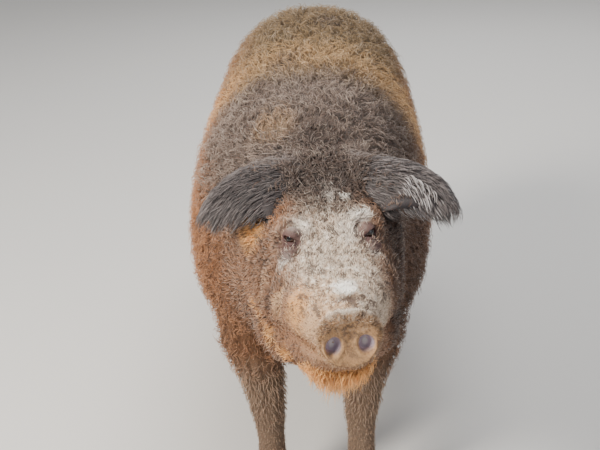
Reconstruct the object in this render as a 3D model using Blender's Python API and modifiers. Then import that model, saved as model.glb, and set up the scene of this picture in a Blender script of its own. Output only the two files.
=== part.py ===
"""A mangalica pig standing with its head turned a little to its left, life size.

Metres, +Z up. The pig faces -Y and its left side is +X. The origin is on the floor under the middle
of the body's box. The trunk is one loft of sections parted by thin cuts, and its curly coat is a core
with rounded clumps set close on it.
"""
import math
import random

import bmesh
import bpy
from mathutils import Matrix, Vector

SEED = 61
GAP = 0.0003            # left between pieces that touch
FAR = 3.0               # larger than the pig, for the blocks that part it

# The coat on the trunk: a core out to part of its depth, and rounded clumps from there to the tips
COAT_DEPTH = 0.040      # skin to tips
CORE_SHARE = 0.45       # of the coat's depth that the core takes
CLUMP_LENGTH = 0.100
CLUMP_WIDTH = 0.089
CLUMP_SINK = 0.017      # how far a clump's root goes into the core
CLUMP_TURN = 32         # degrees a clump may turn off the coat's lie
ROW_SPACING = 0.094     # between rows of clumps along the trunk
CLUMP_SPACING = 0.103   # between clumps round a row
CLUMP_SIDES = 6
# sections of a clump: share of its length, share of the sink below and of the height above its place,
# shares of its width and height, and lean towards its root
CLUMP_SECTIONS = (
    (-0.48, 0.6, 0.00, 0.62, 0.50, 0.60),
    (-0.10, 0.0, 0.34, 1.00, 0.96, 0.15),
    (0.26, 0.0, 0.30, 0.88, 0.96, -0.35),
    (0.48, 0.0, -0.05, 0.44, 0.50, -0.80),
)
CLUMP_RISE = 0.64       # of a clump's height above its middle line, the rest is below it
CLUMP_JITTER = 0.010    # of the trunk's length that a clump may stand off its row
ROW_START = 0.012       # from the tail end to the first row
FLEECE_TRIANGLES = 7250 # on core and clumps together, before the trunk is parted
LOCKS_TRIANGLES = 540   # on an ear or a jaw with its locks, before it is cut clear of its neighbours

# The trunk's sections from the tail end to the head, at the tips of the coat:
# y and z of the middle, lean of the section forwards in degrees, half width, rise above the middle and
# drop below it
TRUNK = (
    (0.665, 0.575, 0, 0.084, 0.075, 0.090),
    (0.640, 0.560, 0, 0.146, 0.134, 0.150),
    (0.575, 0.540, 0, 0.202, 0.218, 0.195),
    (0.450, 0.520, 0, 0.232, 0.289, 0.240),
    (0.300, 0.500, 0, 0.244, 0.313, 0.275),
    (0.120, 0.485, 0, 0.255, 0.318, 0.270),
    (-0.070, 0.480, 0, 0.257, 0.318, 0.260),
    (-0.240, 0.485, 0, 0.246, 0.315, 0.250),
    (-0.350, 0.502, 5, 0.225, 0.297, 0.248),
    (-0.435, 0.535, 10, 0.200, 0.258, 0.232),
    (-0.505, 0.568, 14, 0.178, 0.212, 0.206),
    (-0.580, 0.598, 16, 0.162, 0.165, 0.185),
)
TRUNK_END_REACH = 0.16  # share of the trunk, at its tail end, over which the end is drawn in with the core
TRUNK_RINGS = 17
TRUNK_SIDES = 18
TRUNK_SQUARENESS = 2.25
OUTLINE_SIDES = 96      # of a section, where places round it are measured

# Where the trunk is parted
RUMP_CUT_Y = 0.34
CHEST_CUT_Y = -0.09
NECK_CUT_Y = -0.385
NECK_CUT_LEAN = 8

# The head: its own frame runs from the snout disc back along the head's axis
HEAD_SLOPE = 13.5        # degrees the nose points below level
SNOUT_TIP = Vector((0, -0.872, 0.572))
HEAD_LENGTH = 0.370
HEAD_TURN = 10          # degrees to the pig's left
HEAD_TILT = 1.2         # degrees, left ear down
TURN_PIVOT = Vector((0, -0.385, 0.58))
TURN_REACH = 0.15       # length of neck over which the turn builds up
DISC_LEAN = 16          # degrees the disc faces up from the head's axis
DISC_LEAN_END = 0.100
# distance from the snout disc, level of the widest place, half width, rise and drop from there
HEAD = (
    (0.000, 0.000, 0.048, 0.040, 0.044),
    (0.011, 0.000, 0.052, 0.044, 0.048),
    (0.026, -0.002, 0.049, 0.043, 0.045),
    (0.052, -0.008, 0.064, 0.053, 0.050),
    (0.090, -0.018, 0.086, 0.070, 0.055),
    (0.135, -0.030, 0.105, 0.090, 0.075),
    (0.190, -0.044, 0.121, 0.115, 0.118),
    (0.250, -0.050, 0.132, 0.135, 0.138),
    (0.315, -0.044, 0.142, 0.144, 0.148),
    (0.400, -0.034, 0.151, 0.144, 0.155),
)
HEAD_RINGS = 13
HEAD_SIDES = 20
HEAD_SQUARENESS = 2.3
JAW = (
    (0.030, -0.062, 0.026, 0.014, 0.016),
    (0.042, -0.070, 0.048, 0.024, 0.030),
    (0.080, -0.082, 0.074, 0.036, 0.044),
    (0.130, -0.100, 0.100, 0.054, 0.058),
    (0.185, -0.118, 0.116, 0.066, 0.064),
    (0.245, -0.126, 0.120, 0.070, 0.062),
)
JAW_RINGS = 7
JAW_SIDES = 14
SNOUT_LENGTH = 0.034    # of the disc's own node

NOSTRIL = {"half_width": 0.0110, "half_height": 0.0120, "depth": 0.022, "spread": 0.0265, "height": -0.006}
EYE_RADIUS = 0.012
EYE = {"along": 0.208, "side": 0.062, "height": 0.056}
EYE_SEGMENTS, EYE_RINGS = 12, 7
EYE_LOOK = Vector((0.62, -0.68, 0.38))   # from the left eye, in the head's frame
LID = 0.0045            # thickness of the lids over the ball
LID_OPENING = 0.0045    # half height of the slit between them
BROW = {"side": 0.058, "along": 0.248, "height": 0.052, "radii": (0.036, 0.042, 0.027)}
# clumps between the ears: distance from the disc, side, length
POLL_CLUMPS = ((0.345, -0.010, 0.066), (0.345, 0.042, 0.066), (0.300, 0.006, 0.062))
POLL_CLUMP_WIDTH = 0.054
POLL_CLUMP_HEIGHT = 0.013

# The chin's tuft: distance from the disc and side of each lock's root
CHIN_LOCKS = (
    (0.058, -0.026), (0.058, 0.026),
    (0.082, -0.048), (0.082, 0.000), (0.082, 0.048),
    (0.112, -0.028), (0.112, 0.028),
)
CHIN_LEVEL = -0.096     # of the first locks' roots; the others lie lower by half their distance behind those
CHIN_LOCK = {"length": 0.070, "width": 0.036, "thickness": 0.016}

# Legs: y, x out from the middle plane, z, half width, half depth, from the top down
FORELEG = (
    (-0.325, 0.118, 0.410, 0.066, 0.095),
    (-0.330, 0.118, 0.330, 0.062, 0.085),
    (-0.350, 0.102, 0.255, 0.045, 0.058),
    (-0.368, 0.092, 0.190, 0.038, 0.043),
    (-0.372, 0.089, 0.130, 0.031, 0.035),
    (-0.380, 0.088, 0.080, 0.033, 0.038),
    (-0.396, 0.088, 0.038, 0.037, 0.042),
)
HINDLEG = (
    (0.400, 0.118, 0.440, 0.070, 0.130),
    (0.395, 0.124, 0.360, 0.074, 0.120),
    (0.415, 0.126, 0.290, 0.058, 0.088),
    (0.475, 0.116, 0.225, 0.040, 0.054),
    (0.485, 0.110, 0.165, 0.032, 0.040),
    (0.468, 0.108, 0.085, 0.034, 0.040),
    (0.448, 0.108, 0.038, 0.037, 0.042),
)
LEG_RINGS = 10
LEG_SIDES = 12
LEG_SQUARENESS = 2.1
# kept free of clumps round a leg's top: to its sides, before and behind it, and above it
LEG_ROOM = 0.085
FORELEG_ROOM, HINDLEG_ROOM = 0.100, 0.135
LEG_HEADROOM = 0.05

# Feet: two claws and two dew claws each
CLAW = {"length": 0.062, "width": 0.032, "height": 0.037, "split": 0.0180, "forward": 0.012, "toe_out": 5}
CLAW_RINGS, CLAW_SIDES = 4, 10
DEW_CLAW = {"length": 0.032, "radius": 0.010, "spread": 0.0168, "back": 0.025, "top": 0.064}
DEW_CLAW_RAKE = (0.008, 0.014)      # that its tip stands out and back of its root
DEW_CLAW_SIDES = 7

EAR_WIDTH = 0.114
EAR_WALL = 0.0055
EAR_SUNK = 0.12         # share of its length that an ear reaches into the head
EAR_SPREAD = (118, 52)  # degrees from an ear's middle line round to its edges, at its root and its tip
EAR_ROWS, EAR_COLUMNS = 7, 6
# left ear and right ear: root in the head's frame, length, way it leaves the head, way its tip points,
# way its rounded back faces, and how far its front edge turns up
EARS = {
    1: (Vector((0.076, 0.340, 0.099)), 0.182, Vector((0.92, -0.22, 0.10)), Vector((0.70, -0.46, -0.80)),
        Vector((0.08, -0.34, 0.94)), 0.040),
    -1: (Vector((-0.056, 0.340, 0.104)), 0.160, Vector((-0.92, -0.22, 0.00)), Vector((-0.62, -0.40, -0.70)),
         Vector((-0.10, -0.34, 0.94)), 0.016),
}
# locks on an ear: share of its length, place across it from -1 to 1
EAR_LOCKS = ((0.42, -0.62), (0.46, 0.60), (0.66, -0.55), (0.70, 0.55), (0.84, 0.0))
EAR_LOCK = {"length": 0.048, "width": 0.030, "thickness": 0.009}
EAR_LOCK_HOOK = {1: (0.40, 0.62), -1: (0.15, 0.30)}    # least and most bend down over the edge
TAIL_ROOT = Vector((0.0, 0.634, 0.640))
TAIL_LENGTH = 0.28
TAIL_RADIUS = 0.016
TAIL_RINGS, TAIL_SIDES = 8, 7
TAIL_LOCKS = 7
TAIL_LOCK = {"length": 0.078, "width": 0.034, "thickness": 0.014}
LOCK_SIDES = 5
LOCK_TAPER = (0.80, 1.0, 0.72, 0.16)    # share of a lock's width from root to tip

COLOURS = {
    "fleece": (0.36, 0.22, 0.12),
    "face": (0.45, 0.37, 0.29),
    "snout": (0.30, 0.21, 0.14),
    "ear": (0.13, 0.12, 0.12),
    "eye": (0.05, 0.03, 0.02),
    "horn": (0.16, 0.13, 0.11),
    "chin": (0.62, 0.30, 0.10),
}


def material(name, roughness=0.85):
    """The Principled material for one finish of the pig."""
    made = bpy.data.materials.get(name)
    if made is None:
        made = bpy.data.materials.new(name)
        made.use_nodes = True
        shader = made.node_tree.nodes["Principled BSDF"]
        shader.inputs["Base Color"].default_value = (*COLOURS[name], 1)
        shader.inputs["Roughness"].default_value = roughness
    return made


def clear_scene():
    for obj in list(bpy.data.objects):
        bpy.data.objects.remove(obj)


def collection(name, hidden=False):
    made = bpy.data.collections.new(name)
    bpy.context.scene.collection.children.link(made)
    made.hide_render = hidden
    return made


def object_of(name, points, faces):
    """A mesh object from points and faces, with its faces turned outwards."""
    mesh = bpy.data.meshes.new(name)
    mesh.from_pydata([tuple(p) for p in points], [], faces)
    shape = bmesh.new()
    shape.from_mesh(mesh)
    bmesh.ops.recalc_face_normals(shape, faces=shape.faces)
    shape.to_mesh(mesh)
    shape.free()
    obj = bpy.data.objects.new(name, mesh)
    WORKBENCH.objects.link(obj)
    return obj


def smoothed(table, share):
    """A row of the table at a share of its length, on a smooth curve through its rows."""
    place = share * (len(table) - 1)
    k = min(int(place), len(table) - 2)
    t = place - k
    before, start, end, after = (table[min(max(i, 0), len(table) - 1)] for i in (k - 1, k, k + 1, k + 2))
    row = []
    for a, b, c, d in zip(before, start, end, after):
        square = 2 * a - 5 * b + 4 * c - d
        cube = 3 * b - a - 3 * c + d
        row.append(0.5 * (2 * b + (c - a) * t + square * t * t + cube * t ** 3))
    return row


def share_of(table, value):
    """The share of the table's length at which its first column has this value."""
    rising = table[-1][0] > table[0][0]
    low, high = 0.0, 1.0
    for _ in range(30):
        middle = (low + high) / 2
        if (smoothed(table, middle)[0] < value) == rising:
            low = middle
        else:
            high = middle
    return (low + high) / 2


def eased(share):
    """A share from 0 to 1 that starts and ends gently."""
    share = min(max(share, 0), 1)
    return share * share * (3 - 2 * share)


def section(middle, right, up, half_width, rise, drop, sides, squareness):
    """A ring of points round the middle: an oval, squarer as squareness passes 2."""
    ring = []
    for k in range(sides):
        angle = 2 * math.pi * k / sides
        c, s = math.cos(angle), math.sin(angle)
        across = math.copysign(abs(c) ** (2 / squareness), c) * half_width
        high = math.copysign(abs(s) ** (2 / squareness), s) * (rise if s > 0 else drop)
        ring.append(middle + right * across + up * high)
    return ring


def loft(name, rings):
    """A closed tube through the rings, with a fan of triangles at each end."""
    sides = len(rings[0])
    points = [p for ring in rings for p in ring]
    faces = []
    for row in range(len(rings) - 1):
        for k in range(sides):
            a, b = row * sides + k, row * sides + (k + 1) % sides
            faces.append((a, b, b + sides, a + sides))
    for first, ring in ((0, rings[0]), (len(points) - sides, rings[-1])):
        points.append(sum(ring, Vector()) / sides)
        hub = len(points) - 1
        faces += [(first + k, first + (k + 1) % sides, hub) for k in range(sides)]
    return object_of(name, points, faces)


def turn_matrix(share):
    """The turn and tilt of the head about the neck, at a share of the whole."""
    turn = Matrix.Rotation(math.radians(HEAD_TURN * share), 4, "Z")
    tilt = Matrix.Rotation(math.radians(HEAD_TILT * share), 4, "Y")
    return Matrix.Translation(TURN_PIVOT) @ turn @ tilt @ Matrix.Translation(-TURN_PIVOT)


def bent(point):
    """A point of the straight trunk or neck, carried by the turn of the neck."""
    return turn_matrix(eased((TURN_PIVOT.y - point.y) / TURN_REACH)) @ point


def head_axes():
    """The head's axis backwards, and its up direction, before the turn."""
    slope = math.radians(HEAD_SLOPE)
    return Vector((0, math.cos(slope), math.sin(slope))), Vector((0, -math.sin(slope), math.cos(slope)))


def head_point(along, side, height):
    """A point given in the head's own frame: back from the disc, out to the left, and up."""
    back, up = head_axes()
    return turn_matrix(1) @ (SNOUT_TIP + back * along + up * height + Vector((side, 0, 0)))


def head_matrix():
    """The head's frame: X to the left, Y back along the head, Z up from it, origin at the snout disc."""
    back, up = head_axes()
    axes = Matrix((Vector((1, 0, 0)), back, up)).transposed().to_4x4()
    return turn_matrix(1) @ Matrix.Translation(SNOUT_TIP) @ axes


def trunk_row(share, inset):
    """Middle, up direction and three radii of the trunk's section at a share of its length."""
    y, z, lean, half_width, rise, drop = smoothed(TRUNK, share)
    y -= inset * max(1 - share / TRUNK_END_REACH, 0)
    lean = math.radians(lean)
    up = Vector((0, -math.sin(lean), math.cos(lean)))
    return Vector((0, y, z)), up, half_width - inset, rise - inset, drop - inset


def trunk_ring(share, inset, sides):
    """One section of the trunk and neck, this far inside the tips of the coat."""
    middle, up, half_width, rise, drop = trunk_row(share, inset)
    ring = section(middle, Vector((1, 0, 0)), up, half_width, rise, drop, sides, TRUNK_SQUARENESS)
    return [bent(p) for p in ring]


def trunk_core(inset):
    rings = [trunk_ring(k / (TRUNK_RINGS - 1), inset, TRUNK_SIDES) for k in range(TRUNK_RINGS)]
    return loft("trunk_core", rings)


def trunk_frame(share, place, inset):
    """A point at shares of the trunk's length and of its way round, with the way out and the way back."""
    sides, step = OUTLINE_SIDES, 0.004
    rings = [trunk_ring(min(max(share + move, 0), 1), inset, sides) for move in (-step, step)]
    k = int(place * sides) % sides
    mix = place * sides - int(place * sides)
    behind, ahead = (ring[k].lerp(ring[(k + 1) % sides], mix) for ring in rings)
    back = (behind - ahead).normalized()
    around = (rings[0][(k + 1) % sides] - rings[0][k]).normalized()
    return (behind + ahead) / 2, back.cross(around).normalized(), back


def even_places(share, inset, spacing, offset):
    """Places round a section of the trunk that lie evenly spaced along its outline."""
    ring = trunk_ring(share, inset, OUTLINE_SIDES)
    lengths = [0.0]
    for a, b in zip(ring, ring[1:] + ring[:1]):
        lengths.append(lengths[-1] + (b - a).length)
    count = max(int(round(lengths[-1] / spacing)), 3)
    places = []
    for k in range(count):
        wanted = lengths[-1] * ((k + offset) / count % 1)
        i = max(j for j, length in enumerate(lengths) if length <= wanted)
        i = min(i, len(ring) - 1)
        places.append((i + (wanted - lengths[i]) / (lengths[i + 1] - lengths[i])) / len(ring))
    return places


def clump(place, out, lie, length, width, height, curl):
    """One rounded clump of curls: it rises from a sunk root, lies along the coat and rolls over."""
    across = out.cross(lie).normalized()
    rings = []
    for along, sunk, high, wide, thick, lean in CLUMP_SECTIONS:
        middle = place + lie * along * length + out * (height * high - CLUMP_SINK * sunk)
        middle += across * curl * width * (along + 0.30) ** 2
        up = (out - lie * lean).normalized()
        rise = height * CLUMP_RISE * thick
        drop = (height * (1 - CLUMP_RISE) + CLUMP_SINK) * thick
        rings.append(section(middle, across, up, width / 2 * wide, rise, drop, CLUMP_SIDES, 2))
    return loft("clump", rings)


def lock(root, way, flat, length, width, thickness, bend):
    """One flat tapered lock from a sunk root, bent by a vector towards its tip, its face towards flat."""
    rings = []
    for k, taper in enumerate(LOCK_TAPER):
        u = k / (len(LOCK_TAPER) - 1)
        middle = root + way * length * u + bend * length * u * u
        ahead = (way + bend * 2 * u).normalized()
        across = ahead.cross(flat).normalized()
        half, thick = width / 2 * taper, thickness / 2 * taper
        rings.append(section(middle, across, across.cross(ahead), half, thick, thick, LOCK_SIDES, 2))
    return loft("lock", rings)


def varied(value, share=0.15):
    return value * random.uniform(1 - share, 1 + share)


def in_leg(point):
    """Whether a place on the trunk lies where a leg leaves it."""
    for table, room in ((FORELEG, FORELEG_ROOM), (HINDLEG, HINDLEG_ROOM)):
        y, x, z, _, _ = table[1]
        if abs(point.y - y) < room and abs(abs(point.x) - x) < LEG_ROOM and point.z < z + LEG_HEADROOM:
            return True
    return False


def coat_lie(out, back):
    """The way the coat lies: back along the trunk and down its sides, turned a little at random."""
    lie = back + Vector((0, 0, -0.9)) * abs(out.x)
    lie = (lie - out * lie.dot(out)).normalized()
    lie.rotate(Matrix.Rotation(math.radians(random.uniform(-CLUMP_TURN, CLUMP_TURN)), 3, out))
    return lie


def fleece_clumps(inset):
    """Rows of clumps over the whole trunk, each row staggered against the last and every clump varied."""
    pieces = []
    first, last = TRUNK[0][0], TRUNK[-1][0]
    for row in range(int((first - last) / ROW_SPACING) + 1):
        share = share_of(TRUNK, first - ROW_START - row * ROW_SPACING)
        offset = 0.5 * (row % 2) + random.uniform(-0.1, 0.1)
        for place in even_places(share, inset, CLUMP_SPACING, offset):
            shifted = min(max(share + random.uniform(-CLUMP_JITTER, CLUMP_JITTER), 0.012), 0.985)
            point, out, back = trunk_frame(shifted, place, inset)
            if in_leg(point):
                continue
            lie, curl = coat_lie(out, back), random.uniform(-0.5, 0.5)
            length, width, height = varied(CLUMP_LENGTH), varied(CLUMP_WIDTH, 0.1), varied(inset, 0.1)
            pieces.append(clump(point, out, lie, length, width, height, curl))
    return pieces


def remove(obj):
    bpy.data.objects.remove(obj)


def boolean(obj, other, operation, solver="MANIFOLD"):
    """Cuts obj by other, or joins other to it, and applies that."""
    modifier = obj.modifiers.new("join", "BOOLEAN")
    modifier.operation = operation
    modifier.solver = solver
    if isinstance(other, bpy.types.Collection):
        modifier.operand_type = "COLLECTION"
        modifier.collection = other
    else:
        modifier.object = other
    apply_modifiers(obj)


def apply_modifiers(obj):
    """Makes the evaluated shape the object's own mesh, in world space, in triangles."""
    graph = bpy.context.evaluated_depsgraph_get()
    mesh = bpy.data.meshes.new_from_object(obj.evaluated_get(graph))
    mesh.transform(obj.matrix_world)
    obj.modifiers.clear()
    obj.data = mesh
    obj.matrix_world = Matrix.Identity(4)


def islands(shape):
    """The separate closed surfaces of a bmesh, as lists of faces."""
    left, found = set(shape.faces), []
    while left:
        stack, piece = [left.pop()], []
        while stack:
            face = stack.pop()
            piece.append(face)
            for edge in face.edges:
                for other in edge.link_faces:
                    if other in left:
                        left.discard(other)
                        stack.append(other)
        found.append(piece)
    return found


def volume_of(faces):
    total = 0.0
    for face in faces:
        first = face.verts[0].co
        for a, b in zip(face.verts[1:-1], face.verts[2:]):
            total += first.dot(a.co.cross(b.co)) / 6
    return total


def keep_largest(obj):
    """Keeps the one largest closed surface, which fills sealed hollows and drops loose scraps."""
    shape = bmesh.new()
    shape.from_mesh(obj.data)
    bmesh.ops.triangulate(shape, faces=shape.faces)
    pieces = islands(shape)
    largest = max(pieces, key=volume_of)
    scraps = [face for piece in pieces if piece is not largest for face in piece]
    bmesh.ops.delete(shape, geom=scraps, context="FACES")
    shape.to_mesh(obj.data)
    shape.free()
    return obj


def fuse(name, body, pieces):
    """One Boolean union of the body and all the pieces that grow from it."""
    if pieces:
        together = collection(name + "_pieces", hidden=True)
        for piece in pieces:
            WORKBENCH.objects.unlink(piece)
            together.objects.link(piece)
        boolean(body, together, "UNION")
        for piece in pieces:
            remove(piece)
        bpy.data.collections.remove(together)
    return keep_largest(body)


def lightened(obj, triangles):
    """Thins the mesh to about this many triangles, flattest places first."""
    modifier = obj.modifiers.new("lighten", "DECIMATE")
    modifier.ratio = min(triangles / len(obj.data.polygons), 1)
    apply_modifiers(obj)
    return keep_largest(obj)


def copy_of(obj, name):
    made = bpy.data.objects.new(name, obj.data.copy())
    WORKBENCH.objects.link(made)
    return made


def grown(obj, gap=GAP):
    """A copy of the object swollen by the gap, to cut its neighbours clear of it."""
    made = copy_of(obj, obj.name + "_grown")
    shape = bmesh.new()
    shape.from_mesh(made.data)
    shape.normal_update()
    for vert in shape.verts:
        vert.co += vert.normal * gap * vert.calc_shell_factor()
    shape.to_mesh(made.data)
    shape.free()
    return made


def cut_clear(obj, *neighbours, gap=GAP):
    """Cuts the object clear of its neighbours by the gap."""
    for neighbour in neighbours:
        cutter = grown(neighbour, gap)
        boolean(obj, cutter, "DIFFERENCE")
        remove(cutter)
    return keep_largest(obj)


def block(place, normal):
    """A large block that fills the side of a plane that its normal points to, half a gap past the plane."""
    normal = normal.normalized()
    bpy.ops.mesh.primitive_cube_add(size=FAR)
    made = bpy.context.object
    made.matrix_world = Matrix.Translation(place + normal * (FAR / 2 + GAP / 2)) @ (
        Vector((0, 0, 1)).rotation_difference(normal).to_matrix().to_4x4())
    bpy.context.view_layer.update()
    return made


def within(obj, *planes):
    """Keeps the part of the object on the far side of each plane from its normal's back."""
    for place, normal in planes:
        keeper = block(place, normal)
        boolean(obj, keeper, "INTERSECT")
        remove(keeper)
    return obj


def finish(obj, name, finish_name):
    """Names a finished node, gives it its material and moves it to the pig's collection."""
    obj.name = name
    obj.data.name = name
    obj.data.materials.clear()
    obj.data.materials.append(material(finish_name))
    obj.data.shade_smooth()
    obj.data.set_sharp_from_angle(angle=math.radians(50))
    for owner in list(obj.users_collection):
        owner.objects.unlink(obj)
    PIG.objects.link(obj)
    return obj


def trunk_planes():
    """The planes that part rump, barrel, chest and neck: a point on each and its normal towards the head."""
    lean = math.radians(NECK_CUT_LEAN)
    forwards = Vector((0, -1, 0))
    back, _ = head_axes()
    head_cut = head_point(HEAD_LENGTH, 0, 0)
    return {
        "rump": (Vector((0, RUMP_CUT_Y, 0)), forwards),
        "chest": (Vector((0, CHEST_CUT_Y, 0)), forwards),
        "neck": (Vector((0, NECK_CUT_Y, 0.58)), Vector((0, -math.cos(lean), -math.sin(lean)))),
        "head": (head_cut, (turn_matrix(1).to_3x3() @ -back)),
    }


def trunk_nodes():
    """Rump, barrel, chest and neck, each with its share of the coat."""
    inset = COAT_DEPTH * (1 - CORE_SHARE)
    core = lightened(fuse("trunk", trunk_core(inset), fleece_clumps(inset)), FLEECE_TRIANGLES)
    planes = trunk_planes()
    spans = {
        "rump": (None, planes["rump"]),
        "barrel": (planes["rump"], planes["chest"]),
        "chest": (planes["chest"], planes["neck"]),
        "neck": (planes["neck"], planes["head"]),
    }
    made = {}
    for name, (behind, ahead) in spans.items():
        node = copy_of(core, name)
        limits = [(ahead[0], -ahead[1])]
        if behind:
            limits.append(behind)
        within(node, *limits)
        made[name] = keep_largest(node)
    remove(core)
    return made


def head_ring(table, share, sides):
    """One section of the head or jaw. The disc's end leans back, so that the disc faces up a little."""
    along, level, half_width, rise, drop = smoothed(table, share)
    back, up = head_axes()
    lean = math.radians(DISC_LEAN) * max(1 - along / DISC_LEAN_END, 0)
    leaned = up * math.cos(lean) + back * math.sin(lean)
    ring = section(SNOUT_TIP + back * along + up * level, Vector((1, 0, 0)), leaned, half_width, rise, drop,
                   sides, HEAD_SQUARENESS)
    return [turn_matrix(1) @ p for p in ring]


def ball(name, middle, radii, matrix, segments=16, rings=10):
    """A ball with three radii, placed in a frame."""
    shape = bmesh.new()
    bmesh.ops.create_uvsphere(shape, u_segments=segments, v_segments=rings, radius=1)
    mesh = bpy.data.meshes.new(name)
    shape.to_mesh(mesh)
    shape.free()
    mesh.transform(matrix @ Matrix.Translation(middle) @ Matrix.Diagonal((*radii, 1)))
    obj = bpy.data.objects.new(name, mesh)
    WORKBENCH.objects.link(obj)
    return obj


def eye_middle(side):
    return Vector((side * EYE["side"], EYE["along"], EYE["height"]))


def lid_slit(side):
    """The almond between the lids, as a flattened ball pushed out from the eye."""
    look = Vector((side * EYE_LOOK.x, EYE_LOOK.y, EYE_LOOK.z)).normalized()
    across = look.cross(Vector((0, 0, 1))).normalized()
    axes = Matrix((across, look, across.cross(look))).transposed().to_4x4()
    frame = head_matrix() @ Matrix.Translation(eye_middle(side) + look * EYE_RADIUS) @ axes
    return ball("slit", Vector(), (EYE_RADIUS * 0.88, EYE_RADIUS * 1.1, LID_OPENING), frame, 10, 6)


def head_top(along, side):
    """Height of the head's upper surface at a place of its own frame."""
    _, level, half_width, rise, _ = smoothed(HEAD, share_of(HEAD, along))
    return level + rise * (1 - abs(side / half_width) ** HEAD_SQUARENESS) ** (1 / HEAD_SQUARENESS)


def poll_clumps():
    """Small clumps between the ears, where the coat of the neck runs out on the forehead."""
    pieces = []
    turn = turn_matrix(1).to_3x3()
    back, up = head_axes()
    for along, side, length in POLL_CLUMPS:
        outwards = Vector((side, 0, 0))
        out = turn @ (up - back * 0.15 + outwards * 4).normalized()
        lie = turn @ (outwards * 3 - back)
        lie = (lie - out * lie.dot(out)).normalized()
        root = head_point(along, side, head_top(along, side))
        pieces.append(clump(root, out, lie, varied(length), varied(POLL_CLUMP_WIDTH, 0.1),
                            varied(POLL_CLUMP_HEIGHT), random.uniform(-0.5, 0.5)))
    return pieces


def head_with_eyes():
    """The whole head with brows, the clumps of the poll, and lids with a slit over each eye's socket."""
    head = loft("head", [head_ring(HEAD, k / (HEAD_RINGS - 1), HEAD_SIDES) for k in range(HEAD_RINGS)])
    frame = head_matrix()
    extras = []
    for side in (-1, 1):
        brow = Vector((side * BROW["side"], BROW["along"], BROW["height"]))
        extras.append(ball("brow", brow, BROW["radii"], frame, 8, 6))
        size = EYE_RADIUS + LID
        extras.append(ball("lids", eye_middle(side), (size,) * 3, frame, EYE_SEGMENTS, EYE_RINGS))
    head = fuse("head", head, extras + poll_clumps())
    for side in (-1, 1):
        size = EYE_RADIUS + GAP
        socket = ball("socket", eye_middle(side), (size,) * 3, frame, EYE_SEGMENTS, EYE_RINGS)
        for cutter in (socket, lid_slit(side)):
            boolean(head, cutter, "DIFFERENCE")
            remove(cutter)
    return within(head, trunk_planes()["head"])


def head_nodes():
    """Head, snout and jaw, the snout parted from the head and the jaw cut clear of both."""
    head = head_with_eyes()
    back, _ = head_axes()
    place, normal = head_point(SNOUT_LENGTH, 0, 0), turn_matrix(1).to_3x3() @ back
    snout = copy_of(head, "snout")
    within(head, (place, normal))
    within(snout, (place, -normal))
    keep_largest(head)
    keep_largest(snout)
    jaw = loft("jaw", [head_ring(JAW, k / (JAW_RINGS - 1), JAW_SIDES) for k in range(JAW_RINGS)])
    cut_clear(lightened(fuse("jaw", jaw, chin_locks()), LOCKS_TRIANGLES), head, snout)
    return head, snout, jaw


def lock_of(size, root, way, flat, bend):
    """A lock with about the length, width and thickness of its kind."""
    length, width, thickness = (varied(size[key]) for key in ("length", "width", "thickness"))
    return lock(root, way, flat, length, width, thickness, bend)


def chin_locks():
    """The tuft that hangs from the chin."""
    turn = turn_matrix(1).to_3x3()
    back, up = head_axes()
    pieces = []
    for along, side in CHIN_LOCKS:
        root = head_point(along, side * 0.9, CHIN_LEVEL - (along - CHIN_LOCKS[0][0]) / 2)
        way = (Vector((side * 3, 0, 0)) - up).normalized()
        bend = Vector((side * random.uniform(-3, 6), 0, 0)) + back * random.uniform(-0.1, 0.45)
        pieces.append(lock_of(CHIN_LOCK, root, turn @ way, turn @ -back, turn @ bend))
    return pieces


def drill_nostrils(snout):
    frame = head_matrix()
    for side in (-1, 1):
        middle = Vector((side * NOSTRIL["spread"], 0.0, NOSTRIL["height"]))
        radii = (NOSTRIL["half_width"], NOSTRIL["depth"], NOSTRIL["half_height"])
        hole = ball("nostril", middle, radii, frame, 10, 6)
        boolean(snout, hole, "DIFFERENCE")
        remove(hole)
    return keep_largest(snout)


def eye_nodes():
    made = {}
    for side in (-1, 1):
        made[side] = ball("eye", eye_middle(side), (EYE_RADIUS,) * 3, head_matrix(), EYE_SEGMENTS, EYE_RINGS)
    return made


def ear_frame(side, u):
    """Middle, way along, back and half width of an ear at a share of its length."""
    root, length, start, end, back_of_ear, _ = EARS[side]
    start, end = start.normalized(), end.normalized()
    middle = head_matrix() @ root + (start * (u - u * u / 2) + end * u * u / 2) * length
    ahead = start.lerp(end, u).normalized()
    back_of_ear = (back_of_ear - ahead * back_of_ear.dot(ahead)).normalized()
    leaf = math.sin(math.pi * (0.22 + 0.76 * max(u, 0)) ** 1.05) ** 0.7
    return middle, ahead, back_of_ear, EAR_WIDTH / 2 * (leaf + 0.04)


def ear_row(side, u):
    """Points across an ear: an arc round its back, its front edge turned up in the ear's nearer half."""
    middle, ahead, back_of_ear, half_width = ear_frame(side, u)
    across = ahead.cross(back_of_ear)
    root_spread, tip_spread = EAR_SPREAD
    spread = math.radians(root_spread + (tip_spread - root_spread) * max(u, 0))
    radius = half_width / math.sin(min(spread, math.pi / 2))
    row = []
    for column in range(EAR_COLUMNS + 1):
        edge = 2 * column / EAR_COLUMNS - 1
        angle = spread * edge
        flat = across * radius * math.sin(angle) - back_of_ear * radius * (1 - math.cos(angle)) * 0.8
        fold = eased((side * edge - 0.35) / 0.65) * math.exp(-((u - 0.40) / 0.26) ** 2)
        turned_up = (across * side * 0.55 + back_of_ear) * EARS[side][-1] * fold ** 2
        row.append(middle + flat + turned_up)
    return row


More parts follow.
